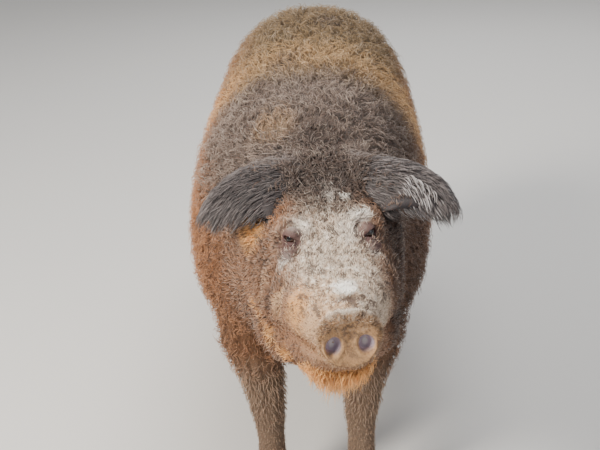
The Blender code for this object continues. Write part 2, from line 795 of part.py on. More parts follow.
def ear(side):
    """One ear: a cupped leaf from the side of the poll, its rounded back up, that droops at its tip."""
    points, faces = [], []
    for row in range(EAR_ROWS + 1):
        points += ear_row(side, (1 + EAR_SUNK) * row / EAR_ROWS - EAR_SUNK)
    width = EAR_COLUMNS + 1
    for row in range(EAR_ROWS):
        for column in range(EAR_COLUMNS):
            a = row * width + column
            faces.append((a, a + 1, a + 1 + width, a + width))
    made = object_of("ear", points, faces)
    wall = made.modifiers.new("wall", "SOLIDIFY")
    wall.thickness = EAR_WALL
    wall.offset = 0
    apply_modifiers(made)
    return lightened(fuse("ear", made, ear_locks(side)), LOCKS_TRIANGLES)


def ear_locks(side):
    """Flat locks on the back of the ear, that lie along it and hook down over its edge and tip."""
    pieces = []
    for u, edge in EAR_LOCKS:
        middle, ahead, back_of_ear, half_width = ear_frame(side, u)
        across = ahead.cross(back_of_ear)
        root = middle + across * half_width * edge - back_of_ear * half_width * 0.75 * edge * edge
        way = (ahead * 0.95 + across * edge * 0.45 + back_of_ear * 0.10).normalized()
        bend = across * edge * 0.15 - back_of_ear * random.uniform(*EAR_LOCK_HOOK[side])
        pieces.append(lock_of(EAR_LOCK, root, way, back_of_ear, bend))
    return pieces


def leg(table, side):
    rings = []
    for k in range(LEG_RINGS):
        y, x, z, half_width, half_depth = smoothed(table, k / (LEG_RINGS - 1))
        rings.append(section(Vector((side * x, y, z)), Vector((1, 0, 0)), Vector((0, 1, 0)),
                             half_width, half_depth, half_depth, LEG_SIDES, LEG_SQUARENESS))
    return loft("leg", rings)


def claw(middle, side):
    """One hoof claw: flat underneath, rounded at the toe, sloping up to the hair line."""
    rings = []
    for k in range(CLAW_RINGS):
        u = k / (CLAW_RINGS - 1)
        half_width = CLAW["width"] / 2 * (1 - 0.08 * u)
        half_length = CLAW["length"] / 2 * (1 - 0.30 * u)
        ring = []
        for j in range(CLAW_SIDES):
            angle = 2 * math.pi * j / CLAW_SIDES
            back = -math.sin(angle) * half_length
            toe = 1 - 0.35 * max(-back / (CLAW["length"] / 2), 0) ** 2
            ring.append(Vector((math.cos(angle) * half_width * toe, back + CLAW["length"] * 0.10 * u,
                                CLAW["height"] * u)))
        rings.append(ring)
    made = loft("claw", rings)
    turn = Matrix.Rotation(math.radians(CLAW["toe_out"] * side), 4, "Z")
    made.data.transform(Matrix.Translation(middle) @ turn)
    return made


def dew_claw(start, side):
    """One small claw behind the foot, narrowing down to a blunt point."""
    out, back = DEW_CLAW_RAKE
    tip = start + Vector((side * out, back, -DEW_CLAW["length"]))
    rings = []
    for u in (0, 0.5, 1):
        radius = DEW_CLAW["radius"] * (1 - 0.55 * u ** 1.5)
        rings.append(section(start.lerp(tip, u), Vector((1, 0, 0)), Vector((0, 1, 0)), radius, radius, radius,
                             DEW_CLAW_SIDES, 2))
    return loft("dewclaw", rings)


def foot(table, side, name):
    """The claws and dew claws of one foot, placed from the last row of the leg's table."""
    y, x, _, _, _ = table[-1]
    made = {}
    for place, step in (("inner", -side), ("outer", side)):
        middle = Vector((side * x + step * CLAW["split"], y - CLAW["forward"], 0))
        made[f"{name}_claw_{place}"] = claw(middle, step)
        top = Vector((side * x + step * DEW_CLAW["spread"], y + DEW_CLAW["back"], DEW_CLAW["top"]))
        made[f"{name}_dewclaw_{place}"] = dew_claw(top, step)
    return made


def tail():
    """The tail hangs from the rump, thick at its root, with a loose bend and a tassel of locks."""
    rings = []
    for k in range(TAIL_RINGS):
        u = k / (TAIL_RINGS - 1)
        radius = TAIL_RADIUS * (1.25 - 0.65 * u)
        rings.append(section(tail_point(u), Vector((1, 0, 0)), Vector((0, 0.8, 0.6)), radius, radius, radius,
                             TAIL_SIDES, 2))
    tassel = []
    for k in range(TAIL_LOCKS):
        u = 0.46 + 0.46 * k / (TAIL_LOCKS - 1)
        angle = 2.4 * k
        flat = Vector((math.cos(angle), math.sin(angle), 0))
        way = (tail_point(u + 0.02) - tail_point(u)).normalized()
        bend = flat.cross(way) * random.uniform(-0.3, 0.3) - flat * 0.08
        root = tail_point(u) + flat * TAIL_RADIUS * 0.35
        tassel.append(lock_of(TAIL_LOCK, root, (way + flat * 0.20).normalized(), flat, bend))
    return fuse("tail", loft("tail", rings), tassel)


def tail_point(u):
    """A point of the tail's middle line, from its root to its tip."""
    swing = Vector((0.030 * math.sin(2.6 * u), 0.075 * math.sin(1.5 * u), 0))
    return TAIL_ROOT + swing - Vector((0, 0, TAIL_LENGTH * u ** 1.15))


def centre_on_floor():
    """Moves every node so that the origin is under the middle of the pig's box."""
    corners = [v.co for obj in PIG.objects for v in obj.data.vertices]
    low = Vector(min(c[i] for c in corners) for i in range(3))
    high = Vector(max(c[i] for c in corners) for i in range(3))
    shift = Vector((-(low.x + high.x) / 2, -(low.y + high.y) / 2, -low.z))
    for obj in PIG.objects:
        obj.data.transform(Matrix.Translation(shift))


def leg_nodes(trunk, side, label):
    """Both legs of one side with their claws, each leg cut into the part of the trunk that it carries."""
    limbs = (("foreleg", FORELEG, ("chest", "neck")), ("hindleg", HINDLEG, ("rump", "barrel")))
    for limb, table, owners in limbs:
        name = f"{limb}_{label}"
        limb_node = leg(table, side)
        claws = foot(table, side, name)
        cut_clear(limb_node, *claws.values())
        for owner in owners:
            cut_clear(trunk[owner], limb_node)
        finish(limb_node, name, "fleece")
        for claw_name, piece in claws.items():
            finish(piece, claw_name, "horn")


def build():
    trunk = trunk_nodes()
    head, snout, jaw = head_nodes()
    drill_nostrils(snout)
    eyes = eye_nodes()
    cut_clear(jaw, trunk["neck"])
    tail_node = tail()
    cut_clear(trunk["rump"], tail_node)
    for side, label in ((-1, "right"), (1, "left")):
        finish(eyes[side], f"eye_{label}", "eye")
        leg_nodes(trunk, side, label)
        leaf = ear(side)
        cut_clear(leaf, head, gap=2 * GAP)
        cut_clear(trunk["neck"], leaf, gap=2 * GAP)
        finish(leaf, f"ear_{label}", "ear")
    for name, node in trunk.items():
        finish(node, name, "fleece")
    finish(head, "head", "face")
    finish(snout, "snout", "snout")
    finish(jaw, "jaw", "chin")
    finish(tail_node, "tail", "fleece")
    centre_on_floor()


clear_scene()
random.seed(SEED)
WORKBENCH = collection("workbench", hidden=True)
PIG = collection("mangalica_pig")
build()
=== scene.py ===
"""The mangalica pig's looks: one skin with folds and lids, under a coat of curls, short hair and bristles.

Metres, +Z up, in the frame of the solids. The pig faces -Y and its left side is +X.
"""
import math

import bmesh
import bpy
import numpy as np
from mathutils import Matrix, Vector
from mathutils.bvhtree import BVHTree
from mathutils.kdtree import KDTree


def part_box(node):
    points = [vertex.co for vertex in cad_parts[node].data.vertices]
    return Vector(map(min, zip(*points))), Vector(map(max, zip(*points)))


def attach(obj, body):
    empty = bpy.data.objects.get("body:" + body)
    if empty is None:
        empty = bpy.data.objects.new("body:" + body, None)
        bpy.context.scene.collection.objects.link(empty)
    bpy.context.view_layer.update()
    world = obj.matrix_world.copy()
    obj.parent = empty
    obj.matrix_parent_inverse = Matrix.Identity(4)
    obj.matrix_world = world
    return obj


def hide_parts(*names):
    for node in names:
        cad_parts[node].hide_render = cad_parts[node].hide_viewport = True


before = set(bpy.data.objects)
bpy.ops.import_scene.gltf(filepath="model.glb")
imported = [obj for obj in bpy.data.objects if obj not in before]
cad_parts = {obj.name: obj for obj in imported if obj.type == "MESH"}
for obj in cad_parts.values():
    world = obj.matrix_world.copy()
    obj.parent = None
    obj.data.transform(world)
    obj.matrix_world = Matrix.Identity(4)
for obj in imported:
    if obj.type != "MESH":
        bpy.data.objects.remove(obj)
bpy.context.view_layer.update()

bl_info = {
    "name": "Mangalica pig",
    "version": (1, 0, 0),
    "blender": (4, 5, 0),
    "location": "View3D > Sidebar > Pig",
    "description": "Dresses the solids of a curly-coated pig in skin, curls, hair and bristles",
    "category": "Object",
}

BODY = "root"

# The shape, in the solids' values, but with a slightly narrower disc.
# y, z, lean in degrees, half width, rise and drop at the coat's tips
TRUNK = np.array((
    (0.665, 0.575, 0, 0.084, 0.075, 0.090),
    (0.640, 0.560, 0, 0.146, 0.134, 0.150),
    (0.575, 0.540, 0, 0.202, 0.218, 0.195),
    (0.450, 0.520, 0, 0.232, 0.289, 0.240),
    (0.300, 0.500, 0, 0.244, 0.313, 0.275),
    (0.120, 0.485, 0, 0.255, 0.318, 0.270),
    (-0.070, 0.480, 0, 0.257, 0.318, 0.260),
    (-0.240, 0.485, 0, 0.246, 0.315, 0.250),
    (-0.350, 0.502, 5, 0.225, 0.297, 0.248),
    (-0.435, 0.535, 10, 0.200, 0.258, 0.232),
    (-0.505, 0.568, 14, 0.178, 0.212, 0.206),
    (-0.580, 0.598, 16, 0.162, 0.165, 0.185),
))
TRUNK_SQUARENESS = 2.25
TRUNK_END_REACH = 0.16
COAT_DEPTH = 0.026      # of the curls over the skin
NECK_DEPTH = 0.012      # of the coat where neck and head meet
NECK_FADE = (-0.400, -0.560)
POLL_DROP = 0.022       # of the head's skin where the neck's coat lies over it
NECK_DROP = 0.022       # of the neck's end, which dives under the poll

HEAD_SLOPE = 13.5
SNOUT_TIP = np.array((0, -0.872, 0.572))
HEAD_TURN = 10
HEAD_TILT = 1.2
TURN_PIVOT = np.array((0, -0.385, 0.58))
TURN_REACH = 0.15       # over which the neck takes up the head's turn
DISC_LEAN = 16
DISC_LEAN_END = 0.100
# distance from the snout disc, level of the widest place, half width, rise and drop
HEAD = np.array((
    (0.000, 0.000, 0.043, 0.040, 0.044),
    (0.011, 0.000, 0.046, 0.044, 0.048),
    (0.026, -0.002, 0.045, 0.043, 0.045),
    (0.052, -0.008, 0.061, 0.053, 0.050),
    (0.090, -0.018, 0.086, 0.070, 0.055),
    (0.135, -0.030, 0.105, 0.090, 0.075),
    (0.190, -0.044, 0.121, 0.115, 0.118),
    (0.250, -0.050, 0.132, 0.135, 0.138),
    (0.315, -0.044, 0.142, 0.144, 0.148),
    (0.400, -0.034, 0.151, 0.144, 0.155),
))
HEAD_SQUARENESS = 2.3
JAW = np.array((
    (0.030, -0.062, 0.026, 0.014, 0.016),
    (0.042, -0.070, 0.048, 0.024, 0.030),
    (0.080, -0.082, 0.074, 0.036, 0.044),
    (0.130, -0.100, 0.100, 0.054, 0.058),
    (0.185, -0.118, 0.116, 0.066, 0.064),
    (0.245, -0.126, 0.120, 0.070, 0.062),
))
NOSTRIL = {"half_width": 0.0118, "half_height": 0.0128, "depth": 0.016, "spread": 0.0265, "height": -0.0085}
EYE = {"radius": 0.012, "along": 0.208, "side": 0.062, "height": 0.056}
EYE_LOOK = np.array((0.62, -0.68, 0.38))
# y, side, z, half width and half depth, from the body to the claws
FORELEG = np.array((
    (-0.325, 0.118, 0.410, 0.066, 0.095),
    (-0.330, 0.118, 0.330, 0.062, 0.085),
    (-0.350, 0.102, 0.255, 0.045, 0.058),
    (-0.368, 0.092, 0.190, 0.038, 0.043),
    (-0.372, 0.089, 0.130, 0.031, 0.035),
    (-0.380, 0.088, 0.080, 0.033, 0.038),
    (-0.396, 0.088, 0.038, 0.037, 0.042),
))
HINDLEG = np.array((
    (0.400, 0.118, 0.440, 0.070, 0.130),
    (0.395, 0.124, 0.360, 0.074, 0.120),
    (0.415, 0.126, 0.290, 0.058, 0.088),
    (0.475, 0.116, 0.225, 0.040, 0.054),
    (0.485, 0.110, 0.165, 0.032, 0.040),
    (0.468, 0.108, 0.085, 0.034, 0.040),
    (0.448, 0.108, 0.038, 0.037, 0.042),
))
EAR_WIDTH = 0.114
# for the left and the right ear: its root in the head's frame, length, ways at root and tip, way of its back
EARS = {
    1: ((0.076, 0.340, 0.099), 0.182, (0.92, -0.22, 0.10), (0.70, -0.46, -0.80), (0.08, -0.34, 0.94)),
    -1: ((-0.056, 0.340, 0.104), 0.160, (-0.92, -0.22, 0.00), (-0.62, -0.40, -0.70), (-0.10, -0.34, 0.94)),
}
EAR_FOLD = {1: 0.058, -1: 0.016}        # how far the front edge turns up
EAR_FOLD_PLACE = {1: 0.62, -1: 0.40}    # share of the ear's length
TAIL_ROOT = np.array((0.0, 0.634, 0.640))
TAIL_LENGTH = 0.28
TAIL_RADIUS = 0.016

# In the head's frame: distance from the disc, depth, reach to the side, width
BRIDGE_FOLDS = ((0.050, 0.0052, 0.036, 0.0050), (0.066, 0.0022, 0.040, 0.004),
                (0.094, 0.0026, 0.034, 0.006), (0.122, 0.0016, 0.045, 0.007))
# distance from the disc, depth
CHEEK_FOLDS = ((0.128, 0.0050), (0.158, 0.0074), (0.192, 0.0080), (0.226, 0.0066), (0.262, 0.0048))
GOLD_TUFT = np.array((-0.119, 0.283, 0.022))    # middle of the tuft below the right ear
SKIN_TRIANGLES = 165000
EAR_WISPS = 480         # pointed wisps that an ear's hairs gather in
STRAND_FLATNESS = 0.75  # a strand's thickness over its width
PATCH = 0.003           # size of a strand's patch on the map of its coat

# Dark patches of the back: middle, radii, share
DARK_SPOTS = (
    ((-0.051, 0.115, 0.76), (0.042, 0.022, 0.06), 0.9),
    ((0.035, 0.395, 0.77), (0.030, 0.030, 0.06), 0.9),
    ((0.03, -0.40, 0.79), (0.050, 0.100, 0.10), 0.9),
    ((0.09, -0.22, 0.74), (0.045, 0.060, 0.07), 0.5),
    ((-0.09, -0.05, 0.75), (0.040, 0.050, 0.07), 0.45),
)
# Patches of the face in the head's frame: middle, radii, softness, share, colour
FACE_SPOTS = (
    ((0.00, 0.350, 0.09), (0.13, 0.085, 0.08), 0.4, 1.0, "crown"),
    ((0.004, 0.262, 0.095), (0.050, 0.024, 0.03), 0.7, 0.55, "crown"),
    # The next four: on the right cheek, a darker patch, a dark streak down a fold and pale streaks on the
    # folds' crests: partly dirt and pale hair, partly painted shade and painted highlight of the folds.
    ((-0.098, 0.205, -0.01), (0.030, 0.050, 0.040), 0.6, 0.35, "crown"),
    ((-0.105, 0.150, -0.03), (0.020, 0.011, 0.060), 0.6, 0.75, "crown"),
    ((-0.096, 0.128, -0.01), (0.016, 0.009, 0.040), 0.7, 0.8, "muzzle"),
    ((-0.112, 0.182, -0.03), (0.020, 0.007, 0.040), 0.7, 0.5, "muzzle"),
    ((-0.025, 0.058, 0.0), (0.062, 0.052, 0.065), 0.6, 0.95, "muzzle"),
    # Pale dried mud on the left of the muzzle, made stronger and wider to brighten that side away from the
    # key light: partly painted light.
    ((0.052, 0.060, 0.00), (0.040, 0.044, 0.06), 0.6, 1.0, "forehead"),
    ((-0.070, 0.088, 0.010), (0.016, 0.022, 0.046), 0.8, 0.8, "chin"),
    ((-0.078, 0.268, 0.066), (0.028, 0.026, 0.03), 0.6, 0.95, "flank"),
    ((-0.119, 0.283, 0.022), (0.026, 0.032, 0.034), 0.5, 1.0, "gold"),
    ((-0.124, 0.225, -0.084), (0.016, 0.036, 0.012), 0.7, 0.7, "chin"),
    ((-0.110, 0.160, -0.103), (0.016, 0.040, 0.012), 0.7, 0.7, "chin"),
    ((-0.086, 0.115, -0.112), (0.018, 0.024, 0.012), 0.7, 0.7, "chin"),
)
# Dried mud on the face, thick enough to hide the hair: middle, radii, share
THICK_MUD = (
    ((0.003, 0.078, 0.045), (0.021, 0.013, 0.03), 1.0),
    ((0.000, 0.026, 0.036), (0.036, 0.008, 0.02), 0.7),
    ((0.038, 0.274, 0.085), (0.011, 0.008, 0.03), 0.9),
    ((0.010, 0.282, 0.095), (0.007, 0.020, 0.03), 0.3),
    ((0.056, 0.236, 0.070), (0.020, 0.014, 0.02), 0.85),
    ((-0.046, 0.222, 0.072), (0.022, 0.018, 0.02), 0.55),
    ((0.030, 0.205, 0.070), (0.026, 0.030, 0.02), 0.4),
    ((0.070, 0.170, 0.040), (0.010, 0.012, 0.02), 0.5),
    ((-0.078, 0.172, 0.036), (0.012, 0.010, 0.02), 0.6),
)
# Bare skin of the lids and of the bags below them: middle, radii, share
LID_SPOTS = (
    ((0.064, 0.204, 0.056), (0.025, 0.023, 0.021), 0.95),
    ((0.071, 0.183, 0.045), (0.021, 0.018, 0.019), 0.85),
)

# Colours that stay the same whatever the markings, as a node takes them
# Painted shade deep in the wool, between the hair lines on the body's skin
WOOL_GAP_SHADE = (0.020, 0.013, 0.010, 1)
DEEP_FACE = (0.040, 0.026, 0.020, 1)
EAR_SKIN = (0.052, 0.044, 0.045, 1)
HAIR_ROOT = (0.016, 0.011, 0.008, 1)
DARK_HAIR = (0.030, 0.020, 0.016, 1)
BLEACHED_HAIR = (0.88, 0.78, 0.66, 1)
DARK_EAR_HAIR = (0.040, 0.034, 0.036, 1)
RUSTY_ROOT = (0.16, 0.060, 0.020, 1)
RUSTY_DARK = (0.10, 0.045, 0.020, 1)
PUPIL = (0.004, 0.003, 0.004, 1)
DARK_HORN = (0.03, 0.022, 0.016, 1)
FLOOR = (0.70, 0.69, 0.67, 1)
SKY = (0.86, 0.88, 0.92, 1)
SKY_STRENGTH = 0.36
# name, place, power, size and tint
LIGHTS = (
    ("key", (-2.4, -2.3, 2.9), 285, 1.2, (1.0, 0.93, 0.83)),
    ("fill", (2.8, -1.8, 1.8), 16, 2.4, (0.90, 0.95, 1.0)),
    ("top", (0.2, 0.4, 3.4), 75, 2.0, (1.0, 0.98, 0.95)),
    ("back", (0.5, 3.2, 2.2), 35, 2.4, (0.96, 0.97, 1.0)),
)
IMAGE_WIDTH = 600
SENSOR_WIDTH = 36
# focal length in the image's pixels, turns in degrees, and place in the frame of the values above
CAMERA = {"pixels": 1478, "pitch": 21.58, "yaw": 3.04, "roll": -2.98,
          "place": Vector((0.1255, -2.934, 1.588))}


def unit(v):
    v = np.asarray(v, float)
    return v / np.maximum(np.linalg.norm(v, axis=-1, keepdims=True), 1e-12)


def smooth_step(low, high, x):
    t = np.clip((np.asarray(x, float) - low) / (high - low), 0, 1)
    return t * t * (3 - 2 * t)


def gauss(value, width):
    return np.exp(-(value / width) ** 2)


def rotation(axis, degrees):
    return np.array(Matrix.Rotation(math.radians(degrees), 3, axis))


def smoothed(table, shares):
    """Rows of the table at shares of its length, on a smooth curve through its rows."""
    last = len(table) - 1
    place = np.clip(shares, 0, 1) * last
    k = np.minimum(place.astype(int), last - 1)
    t = (place - k)[:, None]
    a, b, c, d = (table[np.clip(k + step, 0, last)] for step in (-1, 0, 1, 2))
    return 0.5 * (2 * b + (c - a) * t + (2 * a - 5 * b + 4 * c - d) * t * t
                  + (3 * b - a - 3 * c + d) * t ** 3)


def sections(middles, right, ups, half_widths, rises, drops, sides, squareness):
    """Rings of points round the middles: ovals, squarer as squareness passes 2."""
    angle = 2 * np.pi * np.arange(sides) / sides
    c, s = np.cos(angle), np.sin(angle)
    c = np.sign(c) * np.abs(c) ** (2 / squareness)
    s = np.sign(s) * np.abs(s) ** (2 / squareness)
    high = np.where(s > 0, rises[:, None], drops[:, None]) * s
    across = half_widths[:, None] * c
    return middles[:, None] + across[..., None] * right + high[..., None] * ups[:, None]


def turned(points, share=1.0):
    """Points carried by the head's turn and tilt, at a share of the whole."""
    points = np.asarray(points, float)
    share = np.broadcast_to(share, points.shape[:-1])
    out = np.empty_like(points)
    for value in np.unique(share):
        pick = share == value
        turn = rotation("Z", HEAD_TURN * value) @ rotation("Y", HEAD_TILT * value)
        out[pick] = TURN_PIVOT + (points[pick] - TURN_PIVOT) @ turn.T
    return out


SLOPE = math.radians(HEAD_SLOPE)
HEAD_BACK = np.array((0, math.cos(SLOPE), math.sin(SLOPE)))
HEAD_UP = np.array((0, -math.sin(SLOPE), math.cos(SLOPE)))
TURN = rotation("Z", HEAD_TURN) @ rotation("Y", HEAD_TILT)


def head_place(along, side, height):
    """A point of the head's own frame in the frame of the shape's values."""
    return turned(SNOUT_TIP + HEAD_BACK * along + HEAD_UP * height + np.array((side, 0, 0)))


def shift_of_frame():
    """How far the solids were moved from the values above, read from the left eye."""
    low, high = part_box("eye_left")
    middle = np.array((low + high) / 2)
    return middle - head_place(EYE["along"], EYE["side"], EYE["height"])


SHIFT = shift_of_frame()
AXES = np.array((TURN @ (1, 0, 0), TURN @ HEAD_BACK, TURN @ HEAD_UP))   # left, back, up of the head
HEAD_ORIGIN = head_place(0, 0, 0) + SHIFT


def head_coordinates(points):
    """Side, distance back from the disc and height of points, in the head's frame."""
    return (points - HEAD_ORIGIN) @ AXES.T


def head_world(along, side, height):
    return HEAD_ORIGIN + np.array((side, along, height)) @ AXES


# Meshes

def deselect():
    bpy.ops.object.select_all(action="DESELECT")


def object_from(name, points, faces):
    mesh = bpy.data.meshes.new(name)
    mesh.from_pydata([tuple(p) for p in points], [], faces)
    made = bpy.data.objects.new(name, mesh)
    bpy.context.scene.collection.objects.link(made)
    return made


def loft(name, rings):
    """A closed tube through the rings, with a fan at each end and its faces outwards."""
    rows, sides, _ = rings.shape
    points = [p for ring in rings for p in ring]
    faces = []
    for row in range(rows - 1):
        for k in range(sides):
            a, b = row * sides + k, row * sides + (k + 1) % sides
            faces.append((a, b, b + sides, a + sides))
    for first, ring in ((0, rings[0]), (len(points) - sides, rings[-1])):
        points.append(ring.mean(0))
        faces += [(first + k, first + (k + 1) % sides, len(points) - 1) for k in range(sides)]
    made = object_from(name, points, faces)
    outwards(made)
    return made


def outwards(obj):
    shape = bmesh.new()
    shape.from_mesh(obj.data)
    bmesh.ops.recalc_face_normals(shape, faces=shape.faces)
    shape.to_mesh(obj.data)
    shape.free()


def apply_modifier(obj, kind, **values):
    """Adds a modifier with these values and applies it."""
    deselect()
    bpy.context.view_layer.objects.active = obj
    obj.select_set(True)
    modifier = obj.modifiers.new(kind.lower(), kind)
    for key, value in values.items():
        setattr(modifier, key, value)
    bpy.ops.object.modifier_apply(modifier=modifier.name)


def joined(name, objects):
    deselect()
    for obj in objects:
        obj.select_set(True)
    bpy.context.view_layer.objects.active = objects[0]
    bpy.ops.object.join()
    made = bpy.context.object
    made.name = name
    made.data.name = name
    return made


def points_of(obj):
    flat = np.empty(len(obj.data.vertices) * 3)
    obj.data.vertices.foreach_get("co", flat)
    return flat.reshape(-1, 3)


def normals_of(obj):
    flat = np.empty(len(obj.data.vertices) * 3)
    obj.data.vertices.foreach_get("normal", flat)
    return flat.reshape(-1, 3)


def set_points(obj, points):
    obj.data.vertices.foreach_set("co", np.ascontiguousarray(points, dtype=np.float32).ravel())
    obj.data.update()


def ellipsoid(name, middle, radii, axes, segments=32, rings=16):
    """A ball with three radii along the given axes, from a primitive."""
    deselect()
    bpy.ops.mesh.primitive_uv_sphere_add(segments=segments, ring_count=rings, radius=1)
    made = bpy.context.object
    made.name = name
    set_points(made, np.asarray(middle) + (points_of(made) * np.asarray(radii)) @ np.asarray(axes))
    outwards(made)
    return made


def finish_piece(obj, replaced=()):
    obj.data.shade_smooth()
    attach(obj, BODY)
    if replaced:
        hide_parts(*replaced)
    return obj


# Node materials

class Tree:
    """Short calls for node trees: each places a node, links its inputs and returns its first output."""

    def __init__(self, tree):
        self.tree = tree

    def node(self, kind, inputs=None, **values):
        made = self.tree.nodes.new(kind)
        for key, value in values.items():
            setattr(made, key, value)
        for key, value in (inputs or {}).items():
            if isinstance(value, bpy.types.NodeSocket):
                self.tree.links.new(value, made.inputs[key])
            else:
                made.inputs[key].default_value = value
        return made

    def out(self, kind, inputs=None, output=0, **values):
        return self.node(kind, inputs, **values).outputs[output]

    def math(self, operation, a, b=0.0, clamp=False):
        return self.out("ShaderNodeMath", {0: a, 1: b}, operation=operation, use_clamp=clamp)

    def times(self, a, b):
        return self.math("MULTIPLY", a, b)

    def plus(self, a, b):
        return self.math("ADD", a, b)

    def stain(self, shade, mask, share, name):
        """The shade with a named colour laid over it where the mask shows, at a share of its strength."""
        return self.mix(self.times(mask, share), shade, colour(name))

    def parts(self, vector):
        """The three parts of a vector."""
        return self.node("ShaderNodeSeparateXYZ", {0: vector}).outputs

    def vector(self, operation, a, b=(0, 0, 0), output=0):
        return self.out("ShaderNodeVectorMath", {0: a, 1: b}, output, operation=operation)

    def ramp(self, value, low, high, to_low=0.0, to_high=1.0):
        return self.out("ShaderNodeMapRange", {"Value": value, "From Min": low, "From Max": high,
                                               "To Min": to_low,
                                               "To Max": to_high}, interpolation_type="SMOOTHSTEP")

    def mix(self, share, a, b, blend="MIX"):
        return self.out("ShaderNodeMix", {0: share, 6: a, 7: b}, 2, data_type="RGBA", blend_type=blend)

    def noise(self, vector, scale, detail=3.0, roughness=0.55, distortion=0.0, output=0):
        return self.out("ShaderNodeTexNoise", {"Vector": vector, "Scale": scale, "Detail": detail,
                                               "Roughness": roughness, "Distortion": distortion}, output)

    def blob(self, place, middle, radii, soft=0.35):
        """A soft mask: 1 inside an oval ball at the middle, 0 outside it."""
        offset = self.vector("SUBTRACT", place, tuple(middle))
        scaled = self.vector("DIVIDE", offset, tuple(radii))
        distance = self.vector("LENGTH", scaled, output=1)
        return self.ramp(distance, 1 - soft, 1 + soft, 1.0, 0.0)


def linear(colour):
    """A colour from 0 to 255 as seen, as the linear colour that a node takes."""
    made = []
    for value in colour:
        value /= 255
        made.append(value / 12.92 if value <= 0.04045 else ((value + 0.055) / 1.055) ** 2.4)
    return (*made, 1.0)


def colour(name):
    return (*getattr(bpy.context.scene.pig_colours, name), 1.0)


def rgb(red, green, blue):
    return linear((red, green, blue))[:3]


def colour_property(name, description, value):
    return bpy.props.FloatVectorProperty(name=name, description=description, subtype="COLOR", size=3, min=0,
                                         max=1,
                                         default=rgb(*value))


class PigColours(bpy.types.PropertyGroup):
    flank: colour_property("Flank", "Curls on the flanks", (172, 118, 78))
    # The right flank's rusty curls, brighter than the left flank's: partly real rust, partly painted light on
    # the side the key light falls on.
    rim: colour_property("Lower flank", "Rusty curls on the right flank", (190, 122, 70))
    back: colour_property("Back", "Curls on the rump and loin", (146, 121, 88))
    band: colour_property("Band", "Pale band behind the withers", (240, 192, 134))
    mud: colour_property("Mud", "Muddy curls on withers and neck", (140, 121, 110))
    # Also laid as painted shade: on the left side of body and face, in the right cheek's folds and in the
    # bridge's furrow.
    crown: colour_property("Crown", "Dark curls between the ears", (92, 76, 69))
    forehead: colour_property("Forehead", "Dried mud on forehead and bridge", (226, 204, 182))
    chalk: colour_property("Chalk", "Thick dried mud", (255, 251, 243))
    cheek: colour_property("Cheek", "Hair of the cheeks", (156, 115, 87))
    muzzle: colour_property("Muzzle", "Skin and hair of the muzzle", (230, 190, 150))
    disc: colour_property("Disc", "The snout disc", (176, 138, 100))
    chin: colour_property("Chin", "The tuft of the chin", (250, 182, 108))
    ear: colour_property("Ear", "The ears' hair", (124, 115, 114))
    # Also the colour of the painted glint in the nostrils.
    silver: colour_property("Silver", "Pale tips of the ears' hair", (206, 202, 202))
    gold: colour_property("Gold", "The tuft below the right ear", (255, 190, 118))
    leg: colour_property("Leg", "Short hair of the legs", (168, 140, 117))
    lid: colour_property("Lid", "Bare skin of the eyelids", (84, 62, 62))
    # Paler than the nostrils' own dark skin: partly their wet sheen, painted in.
    nostril: colour_property("Nostril", "Wet skin in the nostrils", (170, 156, 170))
    horn: colour_property("Horn", "The claws", (84, 70, 58))
    eye: colour_property("Eye", "The iris", (52, 32, 20))


def length_property(name, description, value, least, most):
    return bpy.props.FloatProperty(name=name, description=description, default=value, min=least, max=most,
                                   unit="LENGTH")


def count_property(name, description, value, most):
    return bpy.props.IntProperty(name=name, description=description, default=value, min=100, max=most)


class PigSizes(bpy.types.PropertyGroup):
    voxel: length_property("Skin grid", "Size of the skin's faces", 0.004, 0.002, 0.01)
    curl_length: length_property("Curl length", "Reach of a curl along the body", 0.020, 0.005, 0.1)
    curl_radius: length_property("Curl radius", "Radius of a curl", 0.0056, 0.001, 0.02)
    strand: length_property("Strand width", "Width of one strand of the wool", 0.0013, 0.0005, 0.005)
    undercoat: count_property("Undercoat", "Number of strands in the body's undercoat", 17000, 27000)
    curls: count_property("Curls", "Number of curls over the undercoat", 13500, 17500)
    locks: count_property("Locks", "Number of locks that the strands gather in", 8000, 20000)
    crown_curls: count_property("Crown curls", "Number of longer curls between the ears", 1900, 5000)
    face_hairs: count_property("Face hairs", "Number of short hairs on the face", 18500, 19000)
    cheek_hairs: count_property("Cheek hairs", "Number of longer hairs on cheeks and jowls", 2400, 8000)
    chin_hairs: count_property("Chin hairs", "Number of wavy hairs in the chin's tuft", 2500, 5000)
    bristles: count_property("Bristles", "Number of bristles on the snout disc", 2600, 10000)
    ear_hairs: count_property("Ear hairs", "Number of long hairs on each ear", 2600, 6000)
    silver_hairs: count_property("Silver hairs", "Number of silver hairs that arch off the left ear", 130,
                                 4000)
    leg_hairs: count_property("Leg hairs", "Number of short hairs on the legs", 9500, 19000)
    tail_hairs: count_property("Tail hairs", "Number of hairs in the tail's tassel", 1000, 6000)
    seed: bpy.props.IntProperty(name="Seed", description="Start of the random draws", default=7, min=0)


def head_place_group():
    """Side, distance back from the disc and height in the head's frame, from a place."""
    made = bpy.data.node_groups.get("head place")
    if made:
        return made
    made = bpy.data.node_groups.new("head place", "ShaderNodeTree")
    made.interface.new_socket("Vector", in_out="INPUT", socket_type="NodeSocketVector")
    made.interface.new_socket("Place", in_out="OUTPUT", socket_type="NodeSocketVector")
    tree = Tree(made)
    entry = tree.node("NodeGroupInput").outputs[0]
    away = tree.vector("SUBTRACT", entry, tuple(HEAD_ORIGIN))
    parts = [tree.vector("DOT_PRODUCT", away, tuple(axis), output=1) for axis in AXES]
    place = tree.out("ShaderNodeCombineXYZ", {0: parts[0], 1: parts[1], 2: parts[2]})
    made.links.new(place, tree.node("NodeGroupOutput").inputs[0])
    return made


def head_place_node(tree, place):
    made = tree.node("ShaderNodeGroup", node_tree=head_place_group())
    tree.tree.links.new(place, made.inputs[0])
    return made.outputs[0]


